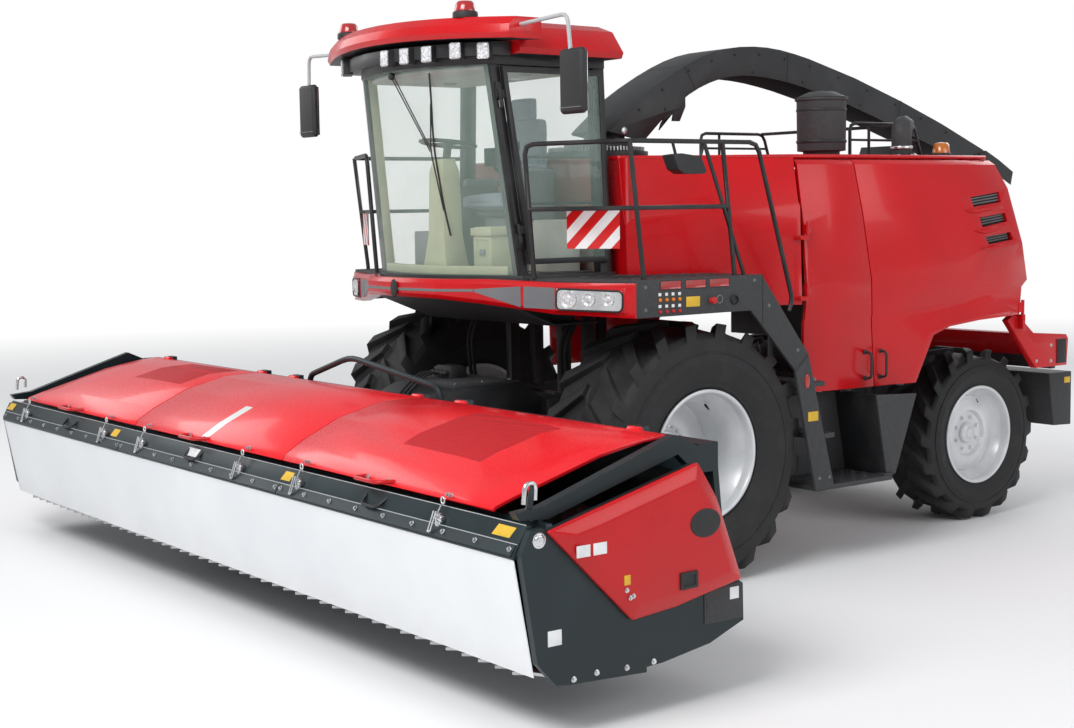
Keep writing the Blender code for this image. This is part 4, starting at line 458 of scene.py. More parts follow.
def buildFloor():
    # pale floor that fades into the white behind it
    deselectAll()
    bpy.ops.mesh.primitive_plane_add(size=floorSet["size"], location=(0, 0, 0))
    floor = bpy.context.object
    floor.name = "studioFloor"
    recipe = Recipe("studioFloor", floorSet["colour"], Roughness=0.9, Specular_IOR_Level=0.1)
    floor.data.materials.append(recipe.material)
    tree = recipe.tree
    white = tree.nodes.new("ShaderNodeEmission")
    white.inputs["Strength"].default_value = 1.0
    mix = tree.nodes.new("ShaderNodeMixShader")
    fade = recipe.node("ShaderNodeVectorMath", {"operation": "LENGTH"}, {0: recipe.spot}, output=1)
    recipe.feed(mix.inputs[0], recipe.range(fade, *floorSet["fade"]))
    tree.links.new(recipe.shader.outputs[0], mix.inputs[1])
    tree.links.new(white.outputs[0], mix.inputs[2])
    tree.links.new(mix.outputs[0], tree.nodes["Material Output"].inputs["Surface"])


# Modelling helpers

weldGap, fineWeld = 0.00005, 0.00002  # points closer than this are one


def deselectAll():
    if bpy.context.object and bpy.context.object.mode != "OBJECT":
        bpy.ops.object.mode_set(mode="OBJECT")
    bpy.ops.object.select_all(action="DESELECT")


def pickOnly(*pieces):
    deselectAll()
    for piece in pieces:
        piece.select_set(True)
    bpy.context.view_layer.objects.active = pieces[0]


def applyPlace(piece):
    # the place goes into the mesh, the object stays at the origin
    pickOnly(piece)
    bpy.ops.object.transform_apply(location=True, rotation=True, scale=True)
    return piece


def applyModifier(piece, kind, **settings):
    pickOnly(piece)
    modifier = piece.modifiers.new("step", kind)
    for key, value in settings.items():
        setattr(modifier, key, value)
    bpy.ops.object.modifier_apply(modifier=modifier.name)
    return piece


def roundEdges(piece, width, segments=2, limit=30, smooth=38):
    if width:
        applyModifier(piece, "BEVEL", width=width, segments=segments, limit_method="ANGLE",
                      angle_limit=math.radians(limit))
    pickOnly(piece)
    bpy.ops.object.shade_smooth_by_angle(angle=math.radians(smooth))
    return piece


def chooseFaces(piece, test):
    # edit mode, with the faces chosen whose middle and normal pass the test
    pickOnly(piece)
    bpy.ops.object.mode_set(mode="EDIT")
    bpy.ops.mesh.select_mode(type="FACE")
    bpy.ops.mesh.select_all(action="DESELECT")
    mesh = bmesh.from_edit_mesh(piece.data)
    for face in mesh.faces:
        if test(face.calc_center_median(), face.normal):
            face.select_set(True)
    bmesh.update_edit_mesh(piece.data)


def stepFaces(piece, way, inset, depth, near=0.95):
    # the side that looks one way is inset, then raised or sunk
    way = Vector(way).normalized()
    chooseFaces(piece, lambda middle, normal: normal.dot(way) > near)
    bpy.ops.mesh.inset(thickness=inset)
    bpy.ops.mesh.extrude_region_move(TRANSFORM_OT_translate={"value": way * depth})
    bpy.ops.object.mode_set(mode="OBJECT")
    return piece


def addBlock(low, high):
    # a box between two corners
    low, high = Vector(low), Vector(high)
    deselectAll()
    bpy.ops.mesh.primitive_cube_add(size=1, location=(low + high) / 2)
    piece = bpy.context.object
    piece.scale = [abs(value) for value in high - low]
    return applyPlace(piece)


def addPanel(low, high, way, inset, depth, width=0.003):
    # a box with one side stepped and its edges rounded
    piece = addBlock(low, high)
    stepFaces(piece, way, inset, depth)
    return roundEdges(piece, width)


def addPrism(outline, axis, low, high):
    # a flat outline, two places a corner, drawn out along X or Y or Z
    deselectAll()
    bpy.ops.mesh.primitive_circle_add(vertices=len(outline), radius=1, fill_type="NGON")
    piece = bpy.context.object
    for vertex, (u, v) in zip(piece.data.vertices, outline):
        vertex.co = {"X": (low, u, v), "Y": (u, low, v), "Z": (u, v, low)}[axis]
    bpy.ops.object.mode_set(mode="EDIT")
    bpy.ops.mesh.select_all(action="SELECT")
    way = {"X": (1, 0, 0), "Y": (0, 1, 0), "Z": (0, 0, 1)}[axis]
    bpy.ops.mesh.extrude_region_move(TRANSFORM_OT_translate={"value": Vector(way) * (high - low)})
    bpy.ops.mesh.select_all(action="SELECT")
    bpy.ops.mesh.normals_make_consistent(inside=False)
    bpy.ops.object.mode_set(mode="OBJECT")
    return piece


def turnTo(way):
    return Vector((0, 0, 1)).rotation_difference(Vector(way)).to_matrix().to_4x4()


def addTurned(profile, spot, way, steps=32, closed=False):
    # rings drawn out one after the other: radius, place along the axis
    deselectAll()
    fill = "NOTHING" if closed else "NGON"
    radius, height = profile[0]
    bpy.ops.mesh.primitive_circle_add(vertices=steps, radius=radius, location=(0, 0, height),
                                      fill_type=fill)
    piece = applyPlace(bpy.context.object)
    bpy.ops.object.mode_set(mode="EDIT")
    bpy.ops.mesh.select_mode(type="EDGE" if closed else "FACE")
    bpy.ops.mesh.select_all(action="SELECT")
    rows = profile[1:] + (profile[:1] if closed else [])
    for wide, high in rows:
        bpy.ops.mesh.extrude_region_move(TRANSFORM_OT_translate={"value": (0, 0, high - height)})
        share = wide / radius
        bpy.ops.transform.resize(value=(share, share, 1), center_override=(0, 0, high))
        radius, height = wide, high
    bpy.ops.mesh.select_all(action="SELECT")
    bpy.ops.mesh.remove_doubles(threshold=fineWeld)
    bpy.ops.mesh.normals_make_consistent(inside=False)
    bpy.ops.object.mode_set(mode="OBJECT")
    piece.data.transform(Matrix.Translation(spot) @ turnTo(way))
    return piece


def addTube(points, radius, bend=0.03, sides=2, closed=False):
    # a bent tube: each inner corner is rounded by two curve points with handles towards the corner
    nearest, handle = 0.45, 0.55
    points = [Vector(point) for point in points]
    knots = [] if closed else [(points[0], points[0], points[0])]
    count = len(points)
    for i in range(count if closed else count - 2):
        before, corner, after = (points[(i + k) % count] for k in range(3))
        reach = min(bend, (before - corner).length * nearest, (after - corner).length * nearest)
        start = corner + (before - corner).normalized() * reach
        end = corner + (after - corner).normalized() * reach
        knots += [(start, start, start.lerp(corner, handle)), (end, end.lerp(corner, handle), end)]
    if not closed:
        knots.append((points[-1], points[-1], points[-1]))
    deselectAll()
    bpy.ops.curve.primitive_bezier_curve_add()
    curve = bpy.context.object
    curve.location = (0, 0, 0)
    spline = curve.data.splines[0]
    spline.bezier_points.add(len(knots) - len(spline.bezier_points))
    for point, (spot, left, right) in zip(spline.bezier_points, knots):
        point.handle_left_type = point.handle_right_type = "FREE"
        point.co, point.handle_left, point.handle_right = spot, left, right
    spline.use_cyclic_u = closed
    spline.resolution_u = 4
    curve.data.bevel_depth = radius
    curve.data.bevel_resolution = sides
    curve.data.use_fill_caps = not closed
    bpy.ops.object.convert(target="MESH")
    piece = bpy.context.object
    bpy.ops.object.mode_set(mode="EDIT")
    bpy.ops.mesh.select_all(action="SELECT")
    bpy.ops.mesh.remove_doubles(threshold=weldGap)
    bpy.ops.mesh.normals_make_consistent(inside=False)
    bpy.ops.object.mode_set(mode="OBJECT")
    return roundEdges(piece, 0, smooth=50)


def joinAll(pieces):
    pickOnly(*pieces)
    if len(pieces) > 1:
        bpy.ops.object.join()
    return bpy.context.object


def repeatAt(master, matrices):
    # copies of one modelled piece, each with its own mesh, then one mesh of all
    copies = []
    for matrix in matrices:
        copy = master.copy()
        copy.data = master.data.copy()
        copy.data.transform(matrix)
        if matrix.determinant() < 0:
            copy.data.flip_normals()
        bpy.context.scene.collection.objects.link(copy)
        copies.append(copy)
    bpy.data.objects.remove(master)
    return joinAll(copies)


def addBolts(spots, way, radius=0.011, height=0.008):
    # hexagon heads on round washers
    profile = [(radius * 1.45, -0.002), (radius * 1.45, 0.0015), (radius * 1.35, 0.002)]
    washer = addTurned(profile, (0, 0, 0), (0, 0, 1), 14)
    deselectAll()
    bpy.ops.mesh.primitive_cylinder_add(vertices=6, radius=radius, depth=height,
                                        location=(0, 0, 0.002 + height / 2))
    head = applyPlace(bpy.context.object)
    stepFaces(head, (0, 0, 1), radius * 0.18, radius * 0.12)
    master = joinAll([washer, head])
    return repeatAt(master, [Matrix.Translation(spot) @ turnTo(way) for spot in spots])


bodyOf = {node: body for body, names in frame["record"]["behaviour"]["bodies"].items() for node in names}


def keepPiece(piece, name, finish, body="machine", replaced=()):
    # names a finished piece, gives it its finish and hangs it on its body
    piece.name = name
    piece.data.name = name
    piece.data.materials.clear()
    piece.data.materials.append(finishes[finish])
    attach(piece, body)
    if replaced:
        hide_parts(*replaced)
    return piece


def camelName(node):
    first, *rest = node.split("_")
    return first + "".join(word.capitalize() for word in rest)


def copyNode(node):
    # a copy of a CAD solid with its loose triangles merged
    mesh = nodes[node].data.copy()
    piece = bpy.data.objects.new(camelName(node), mesh)
    bpy.context.scene.collection.objects.link(piece)
    pickOnly(piece)
    bpy.ops.object.mode_set(mode="EDIT")
    bpy.ops.mesh.select_all(action="SELECT")
    bpy.ops.mesh.remove_doubles(threshold=weldGap)
    bpy.ops.mesh.dissolve_limited(angle_limit=math.radians(0.6))
    bpy.ops.object.mode_set(mode="OBJECT")
    return piece


def softenNode(node, finish, width=0.004, segments=2, limit=28, smooth=38):
    piece = roundEdges(copyNode(node), width, segments, limit, smooth)
    return keepPiece(piece, camelName(node) + "Look", finish, bodyOf[node], [node])


# Shorthands for places counted from the front axle

toTop, toFront, toRear = (0, 0, 1), (0, -1, 0), (0, 1, 0)


def places(*spots):
    return [place(*spot) for spot in spots]


def tubeAt(spots, *shape, **options):
    return addTube(places(*spots), *shape, **options)


def panelAt(low, high, way, *shape):
    return addPanel(place(*low), place(*high), way, *shape)


def capAt(profile, spot, way, steps, width=0.001):
    # a turned piece with its edges rounded
    return roundEdges(addTurned(profile, place(*spot), way, steps), width, 1)


def prismAt(outline, axis, low, high, width=0, segments=1, limit=30):
    # an outline along Y and Z or along X and Y, drawn out and rounded
    piece = addPrism(outline, axis, low, high)
    piece.data.transform(Matrix.Translation((0, axleY, 0)))
    return roundEdges(piece, width, segments, limit) if width else piece


def circleSpots(count, radius, shift=0.0):
    # pairs of lengths round a circle, the first one at its top
    turns = [2 * math.pi * (i + shift) / count for i in range(count)]
    return [(radius * math.sin(turn), radius * math.cos(turn)) for turn in turns]


def keepBolts(name, spots, way, radius, height, finish="brightZinc", body="machine"):
    return keepPiece(addBolts(places(*spots), way, radius, height), name, finish, body)


def both(*stems):
    return [f"{stem}_{word}" for stem in stems for word, ending, side in sides]


# The CAD solids, with softer edges and their second finishes

softSet = [
    # finish, rounding, its segments, least angle that is rounded, angle shaded smooth, nodes
    ("tyreRubber", 0.007, 2, 24, 42, both("front_tyre", "rear_tyre")),
    ("coverPaint", 0.003, 2, 50, 60, ["cover_right", "cover_centre", "cover_left"]),
    ("headerPaint", 0.003, 1, 40, 30, ["header_frame"]),
    ("headerPaint", 0.002, 2, 30, 30, ["curtain_beam"]),
    ("bareSteel", 0.0015, 1, 40, 30, ["cutter_bar"]),
    ("augerSteel", 0, 1, 40, 50, ["auger"]),
    ("redPaint", 0.010, 3, 12, 45, both("side_shell")),
    ("blackPaint", 0.004, 2, 40, 35, ["cab_frame", "cab_door"]),
    ("redPaint", 0.012, 3, 24, 42, ["cab_roof"]),
    ("redPaint", 0.006, 2, 24, 40, ["nose_band"]),
    ("beigePlastic", 0.006, 2, 35, 45, ["steering_column"]),
    ("greyPlastic", 0.012, 3, 40, 40, ["side_console"]),
    ("blackPlastic", 0.008, 3, 35, 45, both("mirror")),
    ("redPaint", 0.005, 2, 22, 42, both("front_door", "rear_door") + ["tail_panel"]),
    ("redPaint", 0.006, 2, 30, 42, ["hood", "rear_bumper"]),
    ("blackPaint", 0.004, 2, 30, 42, both("knuckle") + ["main_frame", "front_axle", "rear_axle",
                                                        "engine_block",
                                                        "feeder_housing", "turret_base", "spout_turret"]),
    ("blackPaint", 0.0, 2, 30, 42, both("railing") + ["deck_rail"]),
    ("blackPaint", 0.002, 2, 40, 42, ["lift_barrels"]),
    ("bareSteel", 0.002, 2, 40, 42, ["lift_rods"]),
    ("spoutPaint", 0.003, 2, 30, 42, ["spout_arch", "spout_flap"]),
    ("speckledCoat", 0.006, 2, 30, 42, both("fender") + ["rear_weight", "ladder"]),
    ("speckledCoat", 0.004, 2, 24, 42, ["air_intake", "exhaust_pipe"]),
]

secondFinish = {
    # start of the node's name: finish, and the test of a face's middle and normal
    "cab_frame": ("beigePlastic", lambda spot, normal: 2.2 < spot.z < 3.58 and abs(spot.x) < 0.86
                  and -1.3 < spot.y < -0.9 and (normal.x * spot.x < -0.1 or normal.y > 0.5)),
    "cab_roof": ("blackPlastic", lambda spot, normal: normal.z < -0.8 and spot.z < 3.80),
    "steering_column": ("blackPlastic", lambda spot, normal: spot.z > 3.0),
    "mirror": ("palePaint", lambda spot, normal: spot.z > 3.66 and abs(spot.x) > 1.19),
    "railing": ("stripedBoard", lambda spot, normal: 1.36 < abs(spot.x) < 1.60 and 2.40 < spot.z < 2.58
                and abs(normal.z) < 0.3),
}


def paintFaces(piece, finish, test):
    piece.data.materials.append(finishes[finish])
    slot = len(piece.data.materials) - 1
    for face in piece.data.polygons:
        middle = face.center.copy()
        middle.y -= axleY
        if test(middle, face.normal):
            face.material_index = slot


def buildLooks():
    for finish, width, segments, limit, smooth, names in softSet:
        for name in names:
            look = softenNode(name, finish, width, segments, limit, smooth)
            for start, (second, test) in secondFinish.items():
                if name.startswith(start):
                    paintFaces(look, second, test)


# Plain plates, caps and labels, one row each

hoodTop = 2.9902
fenderSkin = 1.80
endPlate = 3.7005
shellSkin = 3.7603
exhaustSpot = (1.10, 2.66)
labelThick, labelStep, labelRound = 0.002, 0.0008, 0.0005

plateSet = [
    # name, finish, body, low corner, high corner, side that is stepped, inset, depth, rounding
    ("headlinerLamp", "lampLens", "machine", (0.18, -0.52, 3.562), (0.30, -0.46, 3.573), (0, 0, -1), 0.01,
     0.004, 0.004),
    ("coolBoxLid", "beigePlastic", "machine", (0.315, -0.985, 2.441), (0.565, -0.695, 2.495), toTop, 0.02,
     0.008, 0.012),
    ("coolBoxCatch", "greyPlastic", "machine", (0.41, -0.974, 2.30), (0.47, -0.968, 2.345), toFront, 0.008,
     0.004, 0.002),
    ("storageBox", "creamPlastic", "machine", (0.44, -0.62, 2.178), (0.74, -0.33, 2.53), toTop, 0.03, 0.015,
     0.025),
    ("controlUnit", "gearGrey", "machine", (0.36, -0.69, 2.54), (0.55, -0.40, 2.90), toTop, 0.03, 0.03,
     0.02),
    ("stepSkirtFoot", "speckledCoat", "machine", (1.70, 1.70, 0.6005), (1.79, 1.80, 0.612), toTop, 0.01,
     0.003, 0.002),
    ("hoodGrilleFrame", "blackPaint", "machine", (-0.62, 2.30, hoodTop - 0.001),
     (0.40, 3.02, hoodTop + 0.012), toTop,
     0.03, -0.006, 0.004),
    ("feederCover", "speckledCoat", "feeder", (-0.34, -1.16, 1.358), (0.34, -0.66, 1.392), toTop, 0.03,
     0.006, 0.004),
]

sidePlateSet = [
    # the same for the left side, each made again for the right one
    ("sidePlateCorner", "speckledCoat", "feeder", (endPlate - 0.0008, -1.845, 0.425),
     (endPlate + 0.004, -1.572, 0.618),
     (1, 0, 0), 0.012, 0.002, 0.001),
    ("shellGrip", "blackPlastic", "feeder", (shellSkin - 0.002, -2.065, 0.655),
     (shellSkin + 0.012, -1.945, 0.745),
     (1, 0, 0), 0.018, -0.010, 0.006),
    ("mirrorPane", "mirrorGlass", "machine", (1.615, -1.0998, 3.235), (1.825, -1.096, 3.612), toRear, 0.006,
     0.001, 0.001),
    ("bumperEnd", "blackPlastic", "machine", (1.5285, 4.11, 1.262), (1.536, 4.235, 1.465), (1, 0, 0), 0.012,
     0.004, 0.004),
    ("tailLampHousing", "blackPlastic", "machine", (1.10, 4.259, 1.305), (1.42, 4.272, 1.425), toRear,
     0.010, -0.005, 0.004),
    ("tailLampRed", "redLens", "machine", (1.115, 4.268, 1.318), (1.26, 4.276, 1.412), toRear, 0.006, 0.003,
     0.003),
    ("tailLampAmber", "orangeLens", "machine", (1.27, 4.268, 1.318), (1.405, 4.276, 1.412), toRear, 0.006,
     0.003, 0.003),
]

capSet = [
    # name, finish, profile of radius and height, place, axis, steps round
    ("stopKnob", "redPlastic", [(0.020, 0), (0.020, 0.010), (0.014, 0.013), (0.014, 0.022), (0.024, 0.028),
                                (0.024, 0.036), (0.018, 0.040), (0.002, 0.041)],
     (fenderSkin, -0.041, 1.990), (1, 0, 0), 24),
    ("socketCap", "blackPlastic", [(0.034, 0), (0.034, 0.012), (0.028, 0.016), (0.028, 0.004),
                                   (0.004, 0.003)],
     (fenderSkin, 0.17, 1.985), (1, 0, 0), 28),
    ("exhaustClamp", "brightZinc", [(0.081, 0), (0.088, 0.003), (0.088, 0.022), (0.081, 0.025)],
     (*exhaustSpot, hoodTop + 0.06), toTop, 40),
    ("exhaustFlange", "blackPaint", [(0.082, 0), (0.125, 0.001), (0.125, 0.010), (0.082, 0.011)],
     (*exhaustSpot, hoodTop), toTop, 40),
]

labelSet = [
    # name, finish, body, inset, then x, y and z of the low corner and y and z of the high one
    ("sidePlateLabel", "whiteLabel", "feeder", 0.004, [(endPlate, -2.875, 0.482, -2.790, 0.560)]),
    ("shellLabels", "whiteLabel", "feeder", 0.004, [(shellSkin, -2.735, 0.915, -2.650, 0.975),
                                                    (shellSkin, -2.630, 0.915, -2.545, 0.975),
                                                    (3.7055, -1.665, 0.535, -1.600, 0.600)]),
    ("shellMark", "yellowLabel", "feeder", 0.003, [(shellSkin, -2.435, 0.735, -2.395, 0.785)]),
    ("weightLabel", "yellowLabel", "machine", 0.004, [(1.3995, 4.40, 1.065, 4.48, 1.115)]),
    ("fenderPlate", "yellowLabel", "machine", 0.004, [(fenderSkin, -0.266, 1.956, -0.143, 2.024)]),
    ("stringerLabel", "yellowLabel", "machine", 0.004, [(fenderSkin, 0.885, 1.082, 0.985, 1.150)]),
]


def buildPlates():
    for name, finish, body, low, high, way, *shape in plateSet:
        keepPiece(panelAt(low, high, way, *shape), name, finish, body)
    for name, finish, body, low, high, way, *shape in sidePlateSet:
        for word, ending, side in sides:
            low, high, way = ((side * abs(spot[0]), *spot[1:]) for spot in (low, high, way))
            keepPiece(panelAt(low, high, way, *shape), name + ending, finish, body)
    for name, finish, *shape in capSet:
        keepPiece(capAt(*shape), name, finish)
    for name, finish, body, inset, rows in labelSet:
        plates = [panelAt((x, y, z), (x + labelThick, farY, farZ), (1, 0, 0), inset, labelStep, labelRound)
                  for x, y, z, farY, farZ in rows]
        keepPiece(joinAll(plates), name, finish, body)


# Wheels

wheelSet = {
    # radii of the bead seat, tyre, ring of nuts and hub cap; tread width; the tyre's middle and the disc's
    # face from the machine's middle; the wheel's place along y and z; how deep the disc is dished
    "front": {"bead": 0.432, "width": 0.79, "middle": 1.362, "disc": 1.24, "y": 0.0, "z": 0.915, "lugs": 20,
              "radius": 0.915, "nuts": 20, "nutRing": 0.165, "nutSize": 0.0125, "hub": 0.135, "dish": 0.02,
              "nutFinish": "brightZinc"},
    "rear": {"bead": 0.378, "width": 0.54, "middle": 1.07, "disc": 1.16, "y": 3.388, "z": 0.707, "lugs": 18,
             "radius": 0.707, "nuts": 8, "nutRing": 0.137, "nutSize": 0.014, "hub": 0.085, "dish": 0.045,
             "nutFinish": "rimSilver"},
}


def rimProfile(wheel):
    # drop-centre rim and disc in one turned outline, of radius and distance from the machine's middle
    outer = wheel["middle"] + 0.4 * wheel["width"] + 0.03
    inner = wheel["middle"] - 0.4 * wheel["width"] - 0.03
    edge, back = outer - 0.03, inner + 0.03
    bead = (wheel["bead"] + 0.012) * math.cos(0.66 * math.pi / wheel["lugs"]) - 0.0003
    well = wheel["bead"] - 0.055
    wall = 0.012
    disc, hub = wheel["disc"], wheel["nutRing"] + 0.035
    dish = disc + wheel["dish"]
    return [
        (bead + 0.010, outer), (bead + 0.017, outer - 0.004), (bead + 0.018, outer - 0.012),
        (bead + 0.014, edge + 0.011), (bead, edge + 0.004), (bead, edge - 0.045),
        (bead - 0.006, edge - 0.06),
        (well, edge - 0.12), (well, back + 0.12), (bead, back - 0.004), (bead + 0.018, back - 0.011),
        (bead + 0.018, inner), (bead - wall, inner), (well - wall, back + 0.11), (well - wall, disc - 0.01),
        (hub, disc), (0.05, disc), (0.05, disc + 0.014), (hub - 0.02, disc + 0.014),
        (hub + 0.005, disc + 0.016),
        (hub + 0.02, dish), (well - 0.11, dish + 0.004), (well - 0.05, dish - 0.006),
        (well - 0.022, disc + 0.018),
        (well - wall - 0.002, disc + 0.02), (well - wall, edge - 0.115), (bead - wall - 0.004, edge - 0.05),
        (bead - wall, edge - 0.035), (bead - wall, edge - 0.012), (bead - wall + 0.004, outer - 0.008),
        (bead - 0.002, outer - 0.001),
    ]


def buildRim(name, word, ending, side, wheel):
    # the rim with its nuts, hub cap and valve
    body, way = f"{name}_wheel_{word}", (side, 0, 0)
    y, z, disc, hub = wheel["y"], wheel["z"], wheel["disc"], wheel["hub"]
    rim = roundEdges(addTurned(rimProfile(wheel), place(0, y, z), way, 88, closed=True), 0, smooth=50)
    keepPiece(rim, f"{name}Rim{ending}", "rimSilver", body, [f"{name}_rim_{word}"])
    spots = [(side * (disc + 0.016), y + along, z + rise)
             for along, rise in circleSpots(wheel["nuts"], wheel["nutRing"], 0.5)]
    keepBolts(f"{name}WheelNuts{ending}", spots, way, wheel["nutSize"], 0.018, wheel["nutFinish"], body)
    hubProfile = [(hub, 0.012), (hub, 0.035), (hub - 0.012, 0.047), (hub * 0.55, 0.052), (hub * 0.5, 0.064),
                  (hub * 0.15, 0.066)]
    keepPiece(capAt(hubProfile, (side * disc, y, z), way, 40, 0.002), f"{name}HubCap{ending}", "rimSilver",
              body)
    valve = [(0.009, 0), (0.009, 0.03), (0.006, 0.034), (0.006, 0.05), (0.004, 0.052)]
    reach = wheel["middle"] + 0.4 * wheel["width"] - 0.125
    stem = addTurned(valve, place(side * reach, y + 0.12, z + wheel["bead"] - 0.1), (side * 0.8, 0, -0.6),
                     10)
    keepPiece(stem, f"{name}Valve{ending}", "blackPlastic", body)


ringSet = ((0.10, 0.012, 0.006), (0.30, 0.005, 0.004), (0.62, 0.006,
                                                        0.004))  # share of the wall, half width, proud


def buildSidewall(name, word, ending, side, wheel):
    # raised rings on the tyre's outer wall
    middle, half, base = wheel["middle"], wheel["width"] / 2, wheel["bead"]
    tread = wheel["radius"] - 0.045
    centre = place(0, wheel["y"], wheel["z"])
    rings = []
    for share, wide, proud in ringSet:
        radius = base + share * (tread - base) + 0.012
        across = middle + half * (0.80 + 0.20 * min(1.0, share * 2) - 0.07 * max(0.0, (share - 0.5) / 0.36))
        top = across + proud * 0.6
        profile = [(radius - wide, across - 0.012), (radius - wide * 0.7, top), (radius, across + proud),
                   (radius + wide * 0.7, top), (radius + wide, across - 0.012)]
        rings.append(addTurned(profile, centre, (side, 0, 0), 96, closed=True))
    keepPiece(roundEdges(joinAll(rings), 0, smooth=60), f"{name}SidewallRings{ending}", "tyreRubber",
              f"{name}_wheel_{word}")


def buildWheels():
    for name, wheel in wheelSet.items():
        for word, ending, side in sides:
            buildSidewall(name, word, ending, side, wheel)
            buildRim(name, word, ending, side, wheel)


# Header

headerSet = {
    "latches": (-3.163, -1.552, -0.863, 0.654, 1.426, 2.945),
    "covers": (("right", -1, -2.29), ("centre", 0, -0.08), ("left", 1, 2.24)),
     # word, place in the row, handle
    "coverWidth": 2 * 3.35 / 3,
    "coverEdge": -2.9475,
    "beamTop": (-2.957, 1.090), "beamSlope": 0.6,
    "seams": (-3.645, -1.215, 1.215, 3.645),
    "bolts": 9,
    "labels": [("yellowLabel", -3.60, 0.13), ("yellowLabel", -1.387, 0.11), ("yellowLabel", 1.255, 0.11),
               ("yellowLabel", 3.50, 0.15), ("whiteLabel", -0.078, 0.17)],
    "labelHeight": (1.022, 1.072),
    "plateBolts": ((-2.717, 0.292), (-2.571, 0.300), (-2.375, 0.290), (-2.195, 0.290)),
}


def beamFront(z):
    # the curtain beam's front face leans forward going down
    y, top = headerSet["beamTop"]
    return y - (top - z) * headerSet["beamSlope"]


def buildLatch(x):
    # over-centre latch: base, slotted lever, barrel, and the hook rod with its ring
    front = beamFront(1.03)
    parts = [panelAt((x - 0.022, front - 0.022, 0.985), (x + 0.022, front, 1.062), toFront, 0.006, 0.006)]
    lever, low, hook = -3.030, -3.050, -2.998
    for shift in (-0.011, 0.011):
        parts.append(tubeAt([(x - 0.03 + shift, low, 0.968), (x + shift, lever, 1.075)], 0.0045))
    parts.append(tubeAt([(x - 0.042, low, 0.966), (x - 0.018, low, 0.966)], 0.006))
    barrel = [(0.017, -0.02), (0.019, -0.016), (0.019, 0.016), (0.017, 0.02)]
    parts.append(capAt(barrel, (x + 0.03, -3.012, 1.035), (1, 0, 0), 14, 0.002))
    parts.append(tubeAt([(x + 0.004, lever, 1.04), (x + 0.018, hook, 1.108)], 0.0055))
    ring = []
    for i in range(8):
        turn = 2 * math.pi * i / 8
        ring.append((x + 0.022 + 0.017 * math.cos(turn), -2.992, 1.128 + 0.019 * math.sin(turn)))
    parts.append(tubeAt(ring, 0.0055, 0.02, closed=True))
    return joinAll(parts)


def buildCoverTrim():
    # handles, studs and latches along the lids' front edge
    edge = headerSet["coverEdge"]
    for word, index, x in headerSet["covers"]:
        ending, body = word.capitalize(), f"cover_{word}"
        handle = tubeAt([(x - 0.13, -2.925, 1.148), (x - 0.145, -3.022, 1.148), (x + 0.10, -3.022, 1.148),
                         (x + 0.15, -2.925, 1.148)], 0.012, 0.04, 3)
        keepPiece(handle, f"coverHandle{ending}", "redPaint", body)
        keepBolts(f"coverStuds{ending}", [(x + shift, edge, 1.15) for shift in (-0.10, 0.11)], (0, -1, 0.2),
                  0.009, 0.01, "brightZinc", body)
        wide = headerSet["coverWidth"]
        catches = [latch for latch in headerSet["latches"] if abs(latch - index * wide) < wide / 2]
        spots = [(latch + shift, edge, 1.152) for latch in catches for shift in (0.008, 0.036)]
        keepBolts(f"latchStuds{ending}", spots, (0, -1, 0.2), 0.008, 0.014, "brightZinc", body)
        foot, bar = beamFront(1.06) + 0.004, beamFront(1.01) - 0.026
        grip = tubeAt([(x - 0.07, foot, 1.060), (x - 0.05, bar, 1.012), (x + 0.12, bar, 1.012),
                       (x + 0.14, foot, 1.060)], 0.009, 0.03, 3)
        keepPiece(grip, f"beamHandle{ending}", "blackPlastic", "curtain")
    keepPiece(joinAll([buildLatch(x) for x in headerSet["latches"]]), "coverLatches", "brightZinc",
              "curtain")


def buildBeamTrim():
    # clamping strip of the curtain with its bolts, the beam's pale edges and its labels
    strips, spots = [], []
    outline = [(beamFront(1.000) - 0.001, 1.000), (beamFront(1.002) - 0.005, 1.002), (-3.052, 0.950),
               (-3.047, 0.946)]
    last = headerSet["bolts"] - 1
    for left, right in zip(headerSet["seams"], headerSet["seams"][1:]):
        strips.append(prismAt(outline, "X", left + 0.004, right - 0.004, 0.001))
        spots += [(left + 0.035 + (right - left - 0.07) * i / last, -3.033, 0.978) for i in range(last + 1)]
    keepPiece(joinAll(strips), "curtainStrip", "headerPaint", "curtain")
    keepBolts("curtainStripBolts", spots, (0, -0.86, 0.5), 0.010, 0.009, "brightZinc", "curtain")
    lips = [tubeAt([(-3.65, y, z), (3.65, y, z)], 0.0028) for y, z in ((-3.014, 1.004), (-2.958, 1.0915))]
    keepPiece(joinAll(lips), "beamEdges", "palePaint", "curtain")

    labels = {}
    low, high = headerSet["labelHeight"]
    for finish, x, wide in headerSet["labels"]:
        left, right, slant = x - wide / 2, x + wide / 2, 0.012
        outline = [(left - slant, 0), (right - slant, 0), (right + slant, 1), (left + slant, 1)]
        plate = addPrism(outline, "Z", 0, 0.0015)
        for vertex in plate.data.vertices:
            proud = 0.0015 if vertex.co.z > 0.001 else 0.0
            z = low + (high - low) * vertex.co.y
            vertex.co = place(vertex.co.x, beamFront(z) - proud - 0.0006, z)
        labels.setdefault(finish, []).append(plate)
    for finish, plates in labels.items():
        keepPiece(joinAll(plates), f"beam{finish[0].upper()}{finish[1:]}s", finish, "curtain")


